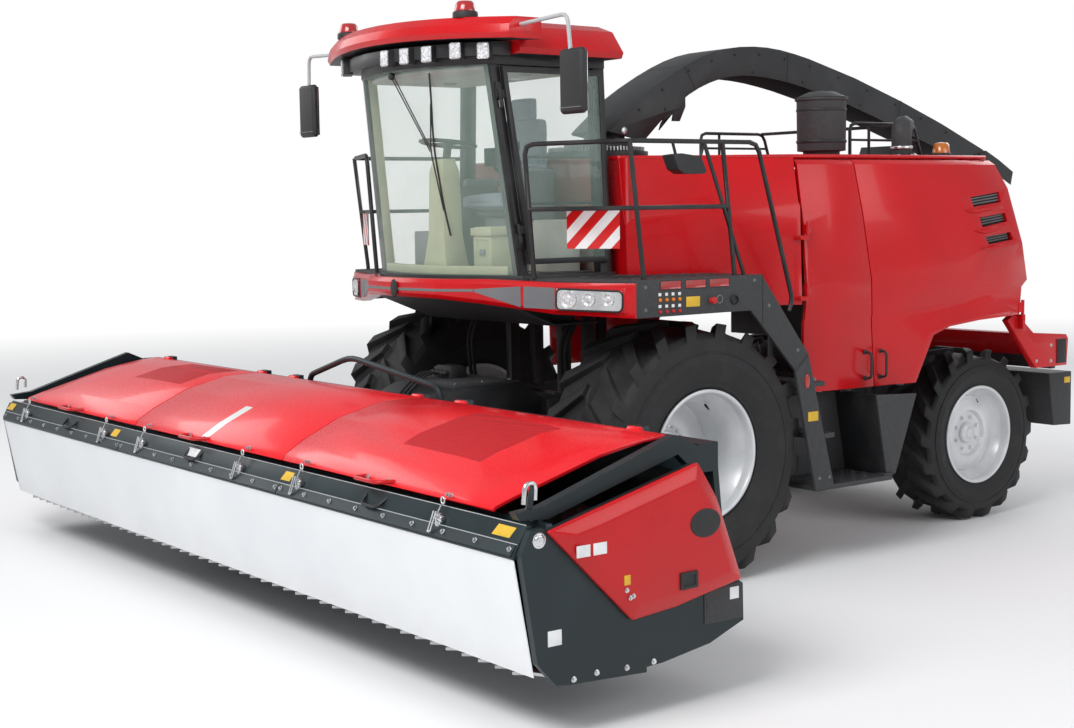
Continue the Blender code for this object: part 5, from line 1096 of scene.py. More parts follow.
def buildEndTrim():
    # lifting eyes, pivot caps, and what sits on the header's end plates and red shells
    for word, ending, side in sides:
        x, way = side * 3.60, (side, 0, 0)
        eye = tubeAt([(x, -2.935, 1.185), (x, -2.925, 1.285), (x, -2.86, 1.285), (x, -2.865, 1.200)], 0.012,
                     0.045, 3)
        keepPiece(eye, f"liftingEye{ending}", "brightZinc", "feeder")
        face, skin = side * endPlate, side * shellSkin
        pivot = [(0.040, -0.002), (0.040, 0.003), (0.028, 0.004), (0.026, 0.010), (0.012, 0.011)]
        keepPiece(capAt(pivot, (face, -2.919, 1.019), way, 24), f"beamPivotCap{ending}", "brightZinc",
                  "feeder")
        keepBolts(f"sidePlateBolts{ending}", [(face, y, z) for y, z in headerSet["plateBolts"]], way, 0.011,
                  0.008,
                  "brightZinc", "feeder")
        spots = [(skin, -2.418, 0.708), (skin, -2.395, 0.666), (skin, -2.375, 0.672)]
        keepBolts(f"shellBolts{ending}", spots, way, 0.009, 0.006, "brightZinc", "feeder")
        disc = addTurned([(0.105, -0.001), (0.105, 0.003), (0.098, 0.005), (0.02, 0.0055)], (0, 0, 0),
                         toTop, 40)
        shape = turnTo(way) @ Matrix.Diagonal((0.72, 1.0, 1.0, 1.0))
        disc.data.transform(Matrix.Translation(place(skin, -1.885, 0.985)) @ shape)
        keepPiece(roundEdges(disc, 0.001, 1), f"shellDisc{ending}", "blackPlastic", "feeder")


curtainSet = {"top": 0.9285, "low": 0.325, "half": 3.650, "rows": 26, "columns": 210, "thick": 0.0016,
              "front": -3.0385, "slope": 0.110}


def curtainLine(z):
    # the plane that the CAD curtain fills, as a place along Y
    share = (curtainSet["top"] - z) / (curtainSet["top"] - curtainSet["low"])
    return curtainSet["front"] + curtainSet["slope"] * share


def buildCurtain():
    # a hung sheet: soft waves that grow towards its free edge
    deselectAll()
    half, top, low = curtainSet["half"], curtainSet["top"], curtainSet["low"]
    bpy.ops.mesh.primitive_grid_add(x_subdivisions=curtainSet["columns"], y_subdivisions=curtainSet["rows"],
                                    size=2)
    sheet = bpy.context.object
    sheet.location = (0, 0, 0)
    for vertex in sheet.data.vertices:
        x = vertex.co.x * half
        share = (1 - vertex.co.y) / 2
        z = top - (top - low) * share
        wave = 0.0016 * math.sin(x * 5.1 + 0.8 * math.sin(x * 1.7)) + 0.0008 * math.sin(x * 13.0 + 2.0)
        vertex.co = place(x, curtainLine(z) + 0.0035 + wave * share, z)
    applyModifier(sheet, "SOLIDIFY", thickness=curtainSet["thick"], offset=0.0)
    roundEdges(sheet, 0, smooth=60)
    keepPiece(sheet, "curtainSheet", "curtainCloth", "curtain", ["curtain"])
    hems = []
    for side in (1, -1):
        x, y = side * (half - 0.012), curtainLine(0.90)
        hem = addBlock(place(x - 0.008, y - 0.0005, 0.34), place(x + 0.008, y + 0.002, 0.90))
        middle = place(0, y + 0.0008, 0).y
        for vertex in hem.data.vertices:
            proud = 0.0015 if vertex.co.y > middle else 0.0002
            vertex.co.y = curtainLine(vertex.co.z) + axleY + proud
        hems.append(roundEdges(hem, 0.0004, 1))
    keepPiece(joinAll(hems), "curtainHems", "curtainCloth", "curtain")


# Cab

cabSet = {
    "half": 0.90, "lean": 0.047, "floor": 2.17, "ceiling": 3.60, "footY": -0.995, "headY": -1.165,
    "bow": 0.27,
    "lamps": [(-0.86, 3.69), (-0.75, 3.69), (0.13, 3.675), (0.33, 3.675), (0.52, 3.675), (0.73, 3.685),
              (0.91, 3.675)],
    "lampRow": (0.95, -1.21, 0.30),  # half width, corner and depth of the visor's plan line
    "beacons": [(0.77, -1.30, 3.895), (-0.77, -1.30, 3.895)],
}


def cabSide(z):
    # half width of the cab, which leans in going up
    return cabSet["half"] - cabSet["lean"] * (z - cabSet["floor"])


def bow(x, half, corner, depth):
    # plan line of the cab's curved front
    return corner - depth * (1 - (x / half) ** 2)


def onScreen(x, z, proud):
    # a place in front of the windscreen
    rise = (z - cabSet["floor"]) / (cabSet["ceiling"] - cabSet["floor"])
    corner = cabSet["footY"] + rise * (cabSet["headY"] - cabSet["footY"])
    return place(x, bow(x, cabSide(z) - 0.01, corner, cabSet["bow"]) - 0.008 - proud, z)


padSet = {
    # powers of the crown, thickness left at the edge, rounding of the corners, sewn channels
    "edgePower": 2.4, "swellPower": 0.45, "edgeShare": 0.50, "cornerStart": 0.72, "cornerShare": 0.07,
    "channelPlace": 0.58, "channelWidth": 0.045, "channelDepth": 0.13,
}


def padAxes(low, high):
    # middle, half sizes, thin axis and the two wide ones
    middle, half = (low + high) / 2, (high - low) / 2
    thin = min(range(3), key=lambda index: half[index])
    return middle, half, thin, [index for index in range(3) if index != thin]


def addCushion(low, high, crown, pull=0.04, cells=14):
    # a crowned pad: sides drawn in between its corners, sewn channels across it
    deselectAll()
    bpy.ops.mesh.primitive_cube_add(size=2, location=(0, 0, 0))
    pad = bpy.context.object
    bpy.ops.object.mode_set(mode="EDIT")
    bpy.ops.mesh.select_all(action="SELECT")
    bpy.ops.mesh.subdivide(number_cuts=cells)
    bpy.ops.object.mode_set(mode="OBJECT")
    middle, half, thin, wide = padAxes(low, high)
    for vertex in pad.data.vertices:
        spot = vertex.co.copy()
        reach = [max(1 - abs(spot[index]) ** padSet["edgePower"], 0) for index in wide]
        swell = reach[0] ** padSet["swellPower"] * reach[1] ** padSet["swellPower"]
        spot[thin] *= padSet["edgeShare"] + (1 - padSet["edgeShare"]) * swell
        for one, other in ((wide[0], wide[1]), (wide[1], wide[0])):
            spot[one] *= 1 - pull * (1 - spot[other] ** 2) * abs(spot[one]) ** 3
        start = padSet["cornerStart"]
        corner = max(0.0, abs(spot[wide[0]]) * abs(spot[wide[1]]) - start) / (1 - start)
        for index in wide:
            spot[index] *= 1 - padSet["cornerShare"] * corner
        channel = math.exp(-((abs(spot[wide[0]]) - padSet["channelPlace"]) / padSet["channelWidth"]) ** 2)
        spot[thin] *= 1 - padSet["channelDepth"] * channel * crown
        vertex.co = Vector([middle[i] + half[i] * spot[i] for i in range(3)])
    applyModifier(pad, "SUBSURF", levels=1, render_levels=1)
    return roundEdges(pad, 0, smooth=75)


def addPiping(low, high, share=0.955):
    # a cord of trim along the pad's middle line
    middle, half, thin, wide = padAxes(low, high)
    points = []
    for u, v in ((-1, -0.8), (-0.8, -1), (0.8, -1), (1, -0.8), (1, 0.8), (0.8, 1), (-0.8, 1), (-1, 0.8)):
        spot = Vector(middle)
        spot[wide[0]] += u * half[wide[0]] * share
        spot[wide[1]] += v * half[wide[1]] * share
        points.append(spot)
    return addTube(points, 0.0045, 0.04, 2, closed=True)


seatSet = {
    # low corner, high corner, how deep the sewn channels are
    "seatCushion": ((-0.185, -0.735, 2.615), (0.325, -0.285, 2.745), 1.0),
    "backCushion": ((-0.165, -0.375, 2.76), (0.305, -0.245, 3.285), 1.0),
    "headCushion": ((-0.055, -0.365, 3.275), (0.195, -0.265, 3.435), 0.3),
}


def buildSeat():
    base = panelAt((-0.115, -0.645, 2.1712), (0.255, -0.345, 2.40), toTop, 0.05, 0.16, 0.012)
    shell = panelAt((-0.175, -0.60, 2.575), (0.315, -0.30, 2.612), (0, 0, -1), 0.05, 0.02, 0.008)
    keepPiece(joinAll([base, shell]), "seatBase", "greyPlastic", "machine", ["seat"])
    seams = []
    for name, (low, high, crown) in seatSet.items():
        low, high = place(*low), place(*high)
        pad = addCushion(low, high, crown)
        keepPiece(pad, name, "seatFabric")
        seams.append(addPiping(low, high))
    keepPiece(joinAll(seams), "seatPiping", "greyPlastic")
    rests = [panelAt((x, -0.66, 2.80), (x + 0.055, -0.36, 2.845), toTop, 0.012, 0.01,
                     0.008) for x in (-0.245, 0.335)]
    arms = [tubeAt([(x, -0.34, 2.70), (x, -0.33, 2.80)], 0.014) for x in (-0.218, 0.362)]
    keepPiece(joinAll(rests + arms), "seatArmrests", "greyPlastic")


def buildBeacons():
    ring = [(0.080, 0.0), (0.086, 0.006), (0.086, 0.040), (0.080, 0.048), (0.070, 0.050)]
    dome = [(0.0725, 0.050), (0.0725, 0.058), (0.0620, 0.103), (0.047, 0.1175), (0.004, 0.1225)]
    rings = [addTurned(ring, place(*spot), toTop, 36) for spot in cabSet["beacons"]]
    keepPiece(roundEdges(joinAll(rings), 0.002, 1), "beaconBases", "blackPlastic")
    domes = [addTurned(dome, place(*spot), toTop, 32) for spot in cabSet["beacons"]]
    keepPiece(roundEdges(joinAll(domes), 0, smooth=50), "cabBeaconLenses", "redLens")
    spot = (1.10, 3.14, 2.987)
    foot = [(0.077, 0.002), (0.081, 0.006), (0.081, 0.030), (0.074, 0.036)]
    lens = [(0.0715, 0.026), (0.072, 0.036), (0.063, 0.104), (0.048, 0.118), (0.004, 0.123)]
    keepPiece(capAt(foot, spot, toTop, 32, 0.002), "hoodBeaconBase", "blackPlastic")
    keepPiece(roundEdges(addTurned(lens, place(*spot), toTop, 32), 0, smooth=50), "hoodBeaconLens",
              "orangeLens")


def buildWorkLamps():
    # bright lenses in a bezel, square to the visor's curve
    half, corner, depth = cabSet["lampRow"]
    matrices = []
    for x, z in cabSet["lamps"]:
        turn = math.atan(2 * depth * x / half ** 2)
        spot = place(x + 0.0405 * math.sin(turn), bow(x, half, corner, depth) - 0.0405 * math.cos(turn), z)
        matrices.append(Matrix.Translation(spot) @ Matrix.Rotation(turn, 4, "Z"))
    lens = addPanel((-0.040, -0.008, -0.050), (0.040, 0.0, 0.050), toFront, 0.004, 0.003, 0.003)
    keepPiece(repeatAt(lens, matrices), "workLampLenses", "lampLens")
    route = [(x, -0.008, z) for x, z in ((-0.041, -0.051), (0.041, -0.051), (0.041, 0.051),
                                         (-0.041, 0.051))]
    rim = addTube(route, 0.004, 0.012, 2, closed=True)
    keepPiece(repeatAt(rim, matrices), "workLampRims", "brightZinc")


def buildHeadlamps():
    # three cells in each end of the nose band, in one dark frame
    cells, frames = [], []
    start, end = Vector((1.28, -0.971)), Vector((1.74, -0.754))
    along = (end - start).normalized()
    for word, ending, side in sides:
        for share, wide in ((0.20, 0.0612), (0.50, 0.0468), (0.78, 0.0432)):
            spot = start + (end - start) * share
            profile = [(wide, 0.0), (wide, 0.006), (wide * 0.92, 0.007), (wide * 0.55, -0.002),
                       (wide * 0.3, 0.004),
                       (wide * 0.08, 0.006)]
            cell = addTurned(profile, (0, 0, 0), toTop, 28)
            spread = Matrix.Translation(place(spot.x, spot.y - 0.0035, 2.022)) @ turnTo((along.y, -along.x,
                                                                                         0))
            cell.data.transform(Matrix.Diagonal((side, 1, 1, 1)) @ spread)
            if side < 0:
                cell.data.flip_normals()
            cells.append(cell)
        route = []
        for share, z in ((0.02, 1.952), (0.98, 1.942), (0.99, 2.078), (0.03, 2.092)):
            spot = start + (end - start) * share
            route.append((side * spot.x, spot.y - 0.002, z))
        frames.append(tubeAt(route, 0.007, 0.035, 2, closed=True))
    keepPiece(joinAll(cells), "headlampCells", "lampLens")
    keepPiece(joinAll(frames), "headlampRims", "blackPlastic")


bladeLine = [(0.43, 3.56), (0.42, 3.35), (0.405, 3.18), (0.40, 3.03), (0.415, 2.82), (0.43, 2.62),
             (0.457, 2.446)]


def buildWiper():
    pivot, mid = onScreen(0.075, 3.56, 0.022), onScreen(0.387, 3.03, 0.030)
    parts = [addTube([pivot + Vector((shift, 0, 0)), mid + Vector((shift * 0.6, 0, 0))], 0.0045)
             for shift in (-0.012, 0.022)]
    spots = [onScreen(x, z, 0.012) for x, z in bladeLine]
    proud = Vector((0, -0.008, 0))
    parts.append(addTube(spots, 0.008, 0.2, 1))
    parts.append(addTube([spots[1] + proud, mid, spots[5] + proud], 0.005, 0.05, 1))
    boss = addTurned([(0.026, -0.012), (0.026, 0.014), (0.020, 0.020)], pivot, (0, -1, 0.1), 16)
    parts.append(roundEdges(boss, 0.002, 1))
    keepPiece(joinAll(parts), "wiper", "blackPlastic")


def bowedPlan(half, corner, depth, rear=None):
    # plan outline with a curved front: closed by a straight rear, or left open for an inner line
    line = [(u * half, bow(u, 1, corner, depth)) for u in [-1 + 2 * i / 12 for i in range(13)]]
    return line if rear is None else line + [(half, rear), (-half, rear)]


def buildLining():
    # headliner with its grilles, the sill under the windscreen and the floor mat
    keepPiece(prismAt(bowedPlan(0.80, -1.10, 0.22, -0.26), "Z", 3.572, 3.598, 0.010, 3), "headliner",
              "paleLining")
    grille = [(0.05, 0), (0.05, 0.006), (0.04, 0.009), (0.01, 0.010)]
    grilles = [addTurned(grille, place(x, -0.62, 3.573), (0, 0, -1), 24) for x in (-0.45, 0.5)]
    keepPiece(roundEdges(joinAll(grilles), 0.001, 1), "headlinerGrilles", "greyPlastic")
    outline = bowedPlan(0.80, -1.005, 0.20) + bowedPlan(0.74, -0.955, 0.17)[::-1]
    keepPiece(prismAt(outline, "Z", 2.1708, 2.232, 0.008, 3, 40), "screenSill", "beigePlastic")
    keepPiece(prismAt(bowedPlan(0.76, -0.90, 0.12, -0.24), "Z", 2.1705, 2.1755, 0.002, 1), "floorMat",
              "greyPlastic")


def buildCabInside():
    # cool box, control stick with its screen, bars of the door, hinge plates and the inside mirror
    box = panelAt((0.33, -0.97, 2.178), (0.55, -0.71, 2.44), toFront, 0.03, -0.008, 0.014)
    foot = addBlock(place(0.345, -0.955, 2.1757), place(0.535, -0.725, 2.20))
    keepPiece(joinAll([box, foot]), "coolBox", "beigePlastic")
    knob = [(0.018, 0), (0.026, 0.02), (0.026, 0.06), (0.016, 0.075), (0.004, 0.078)]
    stick = [tubeAt([(0.45, -0.63, 2.93), (0.45, -0.66, 3.04)], 0.011, 0.02, 3),
             addTurned(knob, place(0.45, -0.66, 3.03), (0, -0.1, 1), 16),
             roundEdges(panelAt((0.24, -0.80, 2.93), (0.42, -0.775, 3.06), toRear, 0.01, -0.002, 0.004),
                        0.002, 1),
             tubeAt([(0.33, -0.785, 2.94), (0.36, -0.74, 2.86), (0.42, -0.66, 2.82)], 0.011, 0.04, 2)]
    keepPiece(joinAll(stick), "controlStick", "blackPlastic")
    bars = []
    for z in (2.66, 2.98):
        near, far = cabSide(z) - 0.022, cabSide(z) - 0.045
        bars.append(tubeAt([(near, -0.88, z), (far, -0.85, z), (far, -0.26, z), (near, -0.24, z)], 0.010,
                           0.03, 2))
    keepPiece(joinAll(bars), "doorBars", "blackPlastic", "cab_door")
    plates = [panelAt((cabSide(z) - 0.003, y - 0.045, z - 0.055),
                      (cabSide(z) + 0.012, y + 0.035, z + 0.055),
                      (1, 0, 0), 0.012, 0.004, 0.003) for y, z in ((-1.075, 3.428), (-0.965, 2.402))]
    keepPiece(joinAll(plates), "doorHingePlates", "blackPlastic")
    arm = tubeAt([(0.74, -1.02, 3.44), (0.68, -0.98, 3.40), (0.69, -0.97, 2.98)], 0.008, 0.03, 2)
    mirror = panelAt((0.66, -0.99, 2.96), (0.72, -0.965, 3.06), toRear, 0.008, 0.003, 0.006)
    keepPiece(joinAll([arm, mirror]), "insideMirror", "blackPlastic")
    for word, ending, side in sides:
        seam = tubeAt([(side * 1.61, -1.1625, 3.26), (side * 1.83, -1.1625, 3.26)], 0.003)
        keepPiece(seam, f"mirrorSeam{ending}", "gearGrey")


# Body, walkways and rear

bodySet = {
    "slots": [
        # corners along and up: front top, rear top, rear foot, front foot
        ((2.903, 2.659), (3.270, 2.698), (3.290, 2.617), (2.935, 2.582)),
        ((2.998, 2.497), (3.330, 2.532), (3.360, 2.462), (3.030, 2.420)),
        ((3.056, 2.345), (3.390, 2.378), (3.420, 2.315), (3.094, 2.283)),
    ],
    "slotFace": 1.533, "slotBar": 1.556, "doorFace": 1.606,
    "grips": [("front", 1.690), ("rear", 1.854)],
    "bumperBolts": [(3.66, 1.60), (3.84, 1.30), (4.03, 1.42), (4.03, 1.29)],
}


def buildSlots():
    # dark mesh and bars behind the louvres of the rear doors
    for word, ending, side in sides:
        inserts, bars = [], []
        face, x = bodySet["slotFace"], side * bodySet["slotBar"]
        for corners in bodySet["slots"]:
            midY, midZ = (sum(corner[i] for corner in corners) / 4 for i in (0, 1))
            wide = [(midY + (y - midY) * 1.06, midZ + (z - midZ) * 1.25) for y, z in corners]
            inserts.append(prismAt(wide, "X", *sorted((side * face, side * (face + 0.012)))))
            (y0, z0), (y1, z1), (y2, z2), (y3, z3) = corners
            for share in (0.22, 0.5, 0.78):
                bars.append(tubeAt([(x, y0 + (y3 - y0) * share, z0 + (z3 - z0) * share),
                                    (x, y1 + (y2 - y1) * share, z1 + (z2 - z1) * share)], 0.007))
        keepPiece(joinAll(inserts), f"slotMesh{ending}", "blackPlastic", f"rear_door_{word}")
        keepPiece(joinAll(bars), f"slotBars{ending}", "gearGrey", f"rear_door_{word}")


def buildDoorTrim():
    # grips and locks of the side doors, and the bumper's bolts
    rose = [(0.018, 0), (0.018, 0.008), (0.013, 0.013), (0.010, 0.014)]
    lock = [(0.024, 0), (0.024, 0.005), (0.018, 0.008), (0.006, 0.009)]
    for word, ending, side in sides:
        x, way = side * bodySet["doorFace"], (side, 0, 0)
        near, far = x - side * 0.008, x + side * 0.062
        for name, y in bodySet["grips"]:
            parts = [tubeAt([(near, y, 1.320), (far, y, 1.322), (far, y, 1.514), (near, y, 1.516)], 0.010,
                            0.042, 3)]
            parts += [addTurned(rose, place(x - side * 0.006, y, z), way, 16) for z in (1.320, 1.516)]
            keepPiece(joinAll(parts), f"{name}DoorGrip{ending}", "blackPlastic", f"{name}_door_{word}")
        keepPiece(capAt(lock, (x, 1.66, 1.85), way, 20), f"frontDoorLock{ending}", "blackPlastic",
                  f"front_door_{word}")
        keepBolts(f"bumperBolts{ending}", [(side * 1.531, y, z) for y, z in bodySet["bumperBolts"]], way,
                  0.010, 0.007)


def buildWeightTrim():
    # seams, bolts and the towing jaw on the rear weight
    grooves = [addBlock(place(x - 0.004, 4.4995, 0.72), place(x + 0.004, 4.5025, 1.14))
               for x in (-0.93, -0.465, 0.0, 0.465, 0.93)]
    keepPiece(roundEdges(joinAll(grooves), 0.001, 1), "weightSeams", "blackPlastic")
    spots = [(x + shift, 4.500, z) for x in (-0.70, 0.0, 0.70) for shift in (-0.15, 0.15) for z in (0.80,
                                                                                                    1.07)]
    keepBolts("weightBolts", spots, toRear, 0.016, 0.012)
    jaw = panelAt((-0.07, 4.499, 0.86), (0.07, 4.53, 1.02), toRear, 0.02, -0.012, 0.006)
    ring = capAt([(0.018, 0), (0.026, 0.004), (0.026, 0.09), (0.018, 0.094)], (0, 4.545, 0.895), toTop, 20,
                 0.002)
    keepPiece(joinAll([jaw, ring]), "weightJaw", "blackPaint")


fenderSet = {
    "slots": [(-0.492, -0.308), (-0.272, -0.088), (-0.058, 0.126)],
    "slotHeight": (2.079, 2.137),
    "buttons": (-0.496, -0.438, -0.382, -0.324),
    "buttonRows": [("upperButtons", 2.012, "orangePlastic"), ("lowerButtons", 1.934, "redPlastic")],
    "bolts": [(-0.62, 2.10), (-0.62, 1.95), (0.36, 2.11), (0.50, 1.93), (0.78, 1.60)],
    "ladderBolts": [(0.95, 1.38), (1.00, 0.66), (1.10, 0.66)],
    "ribs": {"columns": 11, "rows": 13, "start": -0.60, "across": 0.066, "along": 0.072, "outer": 1.70,
             "height": 2.1495},
    "steps": [(0.98, 13, 0.60), (0.96, 3, 0.98), (0.86, 3, 1.36)],  # front edge, rows of ribs, height
}


def buildSwitches():
    # reflectors, buttons, rings and markers on the left fender
    skin, (low, high) = fenderSkin, fenderSet["slotHeight"]
    fills, rims = [], []
    for near, far in fenderSet["slots"]:
        fills.append(panelAt((skin - 0.002, near, low), (skin + 0.0015, far, high), (1, 0, 0), 0.004,
                             -0.001, 0.0006))
        route = [(skin + 0.001, y, z) for y, z in ((near, low), (far, low), (far, high), (near, high))]
        rims.append(tubeAt(route, 0.003, 0.01, 1, closed=True))
    keepPiece(joinAll(fills), "fenderReflectors", "redLens")
    keepPiece(joinAll(rims), "fenderReflectorRims", "blackPlastic")
    knob = [(0.0125, 0), (0.0125, 0.008), (0.009, 0.012), (0.002, 0.0125)]
    for name, z, finish in fenderSet["buttonRows"]:
        caps = [addTurned(knob, place(skin, y, z), (1, 0, 0), 16) for y in fenderSet["buttons"]]
        keepPiece(roundEdges(joinAll(caps), 0.001, 1), name, finish)
        tags = [panelAt((skin, y - 0.012, z + 0.026), (skin + 0.0015, y + 0.012, z + 0.046), (1, 0, 0),
                        0.003, 0.0005, 0.0004) for y in fenderSet["buttons"]]
        keepPiece(joinAll(tags), f"{name}Tags", "whiteLabel")
    ring = [(0.026, 0), (0.030, 0.003), (0.026, 0.006), (0.022, 0.003)]
    stopRing = addTurned(ring, place(skin, 0.035, 1.995), (1, 0, 0), 24, closed=True)
    keepPiece(roundEdges(stopRing, 0, smooth=60), "stopRing", "gearGrey")
    marker = addTurned([(0.034, 0), (0.034, 0.006), (0.026, 0.011), (0.004, 0.012)], (0, 0, 0), (1, 0, 0),
                       28)
    marker.data.transform(Matrix.Translation(place(skin, 0.872, 1.372)) @ Matrix.Diagonal((1, 0.72, 1.55,
                                                                                           1)))
    keepPiece(roundEdges(marker, 0.001, 1), "stringerMarker", "redLens")


def slanted(spot, i, j):
    # every other rib of a tread plate leans the other way
    return Matrix.Translation(place(*spot)) @ Matrix.Rotation(math.radians(45 if (i + j) % 2 else -45), 4,
                                                              "Z")


def buildFender():
    buildSwitches()
    for word, ending, side in sides:
        x, way = side * (fenderSkin + 0.0005), (side, 0, 0)
        seams = [tubeAt([(x, y0, z0), (x, y1, z1)], 0.0025)
                 for y0, z0, y1, z1 in ((0.44, 1.80, 0.44, 2.148), (0.885, 1.560, 0.770, 1.460))]
        keepPiece(joinAll(seams), f"fenderSeam{ending}", "blackPlastic")
        bolts = fenderSet["bolts"] + (fenderSet["ladderBolts"] if side > 0 else [])
        keepBolts(f"fenderBolts{ending}", [(side * fenderSkin, y, z) for y, z in bolts], way, 0.009, 0.006,
                  "gearGrey")
        rib = addTube([(-0.020, 0, 0), (0.020, 0, 0)], 0.004, sides=1)
        grid, rows = fenderSet["ribs"], []
        for i in range(grid["columns"]):
            for j in range(grid["rows"]):
                # the deck narrows beside the cab's rear
                y = grid["start"] + j * grid["along"]
                inner = 1.02 if y < -0.16 else 1.13 + 0.35 * (y + 0.14)
                x = inner + 0.04 + i * grid["across"]
                if x < grid["outer"]:
                    rows.append(slanted((side * x, y, grid["height"]), i, j))
        keepPiece(repeatAt(rib, rows), f"treadRibs{ending}", "speckledCoat")
    rib = addTube([(-0.016, 0, 0), (0.016, 0, 0)], 0.0035, sides=1)
    rows = [slanted((1.38 + i * 0.058, front + 0.035 + j * 0.06, z + 0.0005), i, j)
            for front, count, z in fenderSet["steps"] for i in range(7) for j in range(count)]
    keepPiece(repeatAt(rib, rows), "stepRibs", "speckledCoat")


def buildDeckTrim():
    # bands of the air intake, bolts of the exhaust, bars of the hood's grille
    intake = place(1.05, 1.80, hoodTop)
    bands = [addTurned([(0.187, z), (0.193, z + 0.004), (0.193, z + 0.020), (0.187, z + 0.024)], intake,
                       toTop, 48)
             for z in (0.10, 0.34)]
    keepPiece(roundEdges(joinAll(bands), 0.001, 1), "intakeBands", "blackPlastic")
    rims = [addTurned([(0.196, z), (0.204, z + 0.004), (0.196, z + 0.008)], intake, toTop,
                      48) for z in (0.430, 0.442)]
    keepPiece(roundEdges(joinAll(rims), 0, smooth=40), "intakeRim", "speckledCoat")
    x, y = exhaustSpot
    spots = [(x + across, y + along, hoodTop + 0.010) for along, across in circleSpots(6, 0.105)]
    keepBolts("exhaustBolts", spots, toTop, 0.008, 0.006)
    z = hoodTop + 0.009
    bars = [tubeAt([(-0.585, y, z), (0.365, y, z)], 0.006,
                   sides=1) for y in [2.345 + 0.03 * i for i in range(22)]]
    keepPiece(joinAll(bars), "hoodGrilleBars", "gearGrey")


spoutRows = [
    # upper edge along and up, lower edge along and up, half width
    (0.36, 3.20, 0.70, 3.13, 0.240), (0.69, 3.47, 0.96, 3.36, 0.238), (1.18, 3.74, 1.28, 3.55, 0.232),
    (1.58, 3.87, 1.64, 3.655, 0.225), (2.04, 3.90, 2.04, 3.66, 0.216), (2.53, 3.83, 2.50, 3.59, 0.206),
    (3.10, 3.69, 3.04, 3.465, 0.195), (3.70, 3.51, 3.63, 3.29, 0.184), (4.25, 3.325, 4.17, 3.12, 0.174),
    (4.85, 3.095, 4.76, 2.90, 0.166),
]
spoutBolts = [(0.7, 0.62, 13, 0.22), (1.0, 1.3, 6, 0.84)]  # first share, pitch, count, drop
spoutSeams = (1.9, 4.5, 7.0)
turretSet = {"y": 0.42, "teeth": 84, "toothRing": 0.359, "toothFoot": 3.0525, "bolts": 16, "boltRing": 0.29,
             "boltFoot": 3.0795}


def spoutSpot(share, drop, side, proud, lift=0.0):
    # share runs 0 to 9 along the arch, drop 0 to 1 down its side
    index = min(int(share), len(spoutRows) - 2)
    near = share - index
    upY, upZ, lowY, lowZ, half = (a + (b - a) * near for a, b in zip(spoutRows[index],
                                                                     spoutRows[index + 1]))
    return side * (half + proud), upY + (lowY - upY) * drop, upZ + (lowZ - upZ) * drop + lift


def buildSpout():
    for word, ending, side in sides:
        spots = [spoutSpot(first + pitch * i, drop, side, 0.0005)
                 for first, pitch, count, drop in spoutBolts for i in range(count)]
        keepBolts(f"spoutBolts{ending}", spots, (side, 0, 0), 0.008, 0.005, "blackPlastic", "spout")
    seams = []
    for share in spoutSeams:
        route = [spoutSpot(share, 0.96, 1, 0.001), spoutSpot(share, 0.0, 1, 0.001, 0.001),
                 spoutSpot(share, 0.0, -1, 0.001, 0.001), spoutSpot(share, 0.96, -1, 0.001)]
        seams.append(tubeAt(route, 0.0035, 0.004, 1))
    keepPiece(joinAll(seams), "spoutSeams", "blackPlastic", "spout")
    pin = [(0.030, 0), (0.030, 0.006), (0.020, 0.010), (0.004, 0.011)]
    caps = [addTurned(pin, place(side * 0.2405, 0.50, 3.205), (side, 0, 0), 24) for word, ending,
            side in sides]
    keepPiece(roundEdges(joinAll(caps), 0.001, 1), "spoutPinCaps", "brightZinc", "spout")


def buildTurret():
    # teeth and bolts of the ring that turns the spout
    tooth = addPrism([(-0.008, 0), (0.008, 0), (0.005, 0.012), (-0.005, 0.012)], "Z", 0.0, 0.030)
    centre = Matrix.Translation(place(0, turretSet["y"], turretSet["toothFoot"]))
    reach = Matrix.Translation((0, turretSet["toothRing"], 0))
    teeth = [centre @ Matrix.Rotation(2 * math.pi * i / turretSet["teeth"], 4, "Z") @ reach
             for i in range(turretSet["teeth"])]
    keepPiece(repeatAt(tooth, teeth), "turretTeeth", "bareSteel", "spout_turret")
    spots = [(across, turretSet["y"] + along, turretSet["boltFoot"])
             for across, along in circleSpots(turretSet["bolts"], turretSet["boltRing"])]
    keepBolts("turretBolts", spots, toTop, 0.010, 0.008, "brightZinc", "spout_turret")


# Nose, step well and underside

noseLine = [(0.0, -1.43), (0.45, -1.38), (0.74, -1.20), (1.25, -0.97), (1.80, -0.71)]


def noseFront(x):
    # the nose band's front face, as a place along Y
    for (x0, y0), (x1, y1) in zip(noseLine, noseLine[1:]):
        if abs(x) <= x1:
            break
    return y0 + (y1 - y0) * (abs(x) - x0) / (x1 - x0)


def addStrip(rows, thick, proud):
    # a thin plate along the nose, through rows of x, low edge and high edge
    deselectAll()
    bpy.ops.mesh.primitive_grid_add(x_subdivisions=len(rows) - 1, y_subdivisions=1, size=2)
    piece = bpy.context.object
    for vertex in piece.data.vertices:
        x, low, high = rows[round((vertex.co.x + 1) / 2 * (len(rows) - 1))]
        vertex.co = place(x, noseFront(x) - proud, high if vertex.co.y > 0 else low)
    pickOnly(piece)
    bpy.ops.object.mode_set(mode="EDIT")
    bpy.ops.mesh.select_all(action="SELECT")
    bpy.ops.mesh.normals_make_consistent(inside=False)
    bpy.ops.object.mode_set(mode="OBJECT")
    applyModifier(piece, "SOLIDIFY", thickness=thick, offset=0.0)
    return roundEdges(piece, 0.0006, 1, 40)


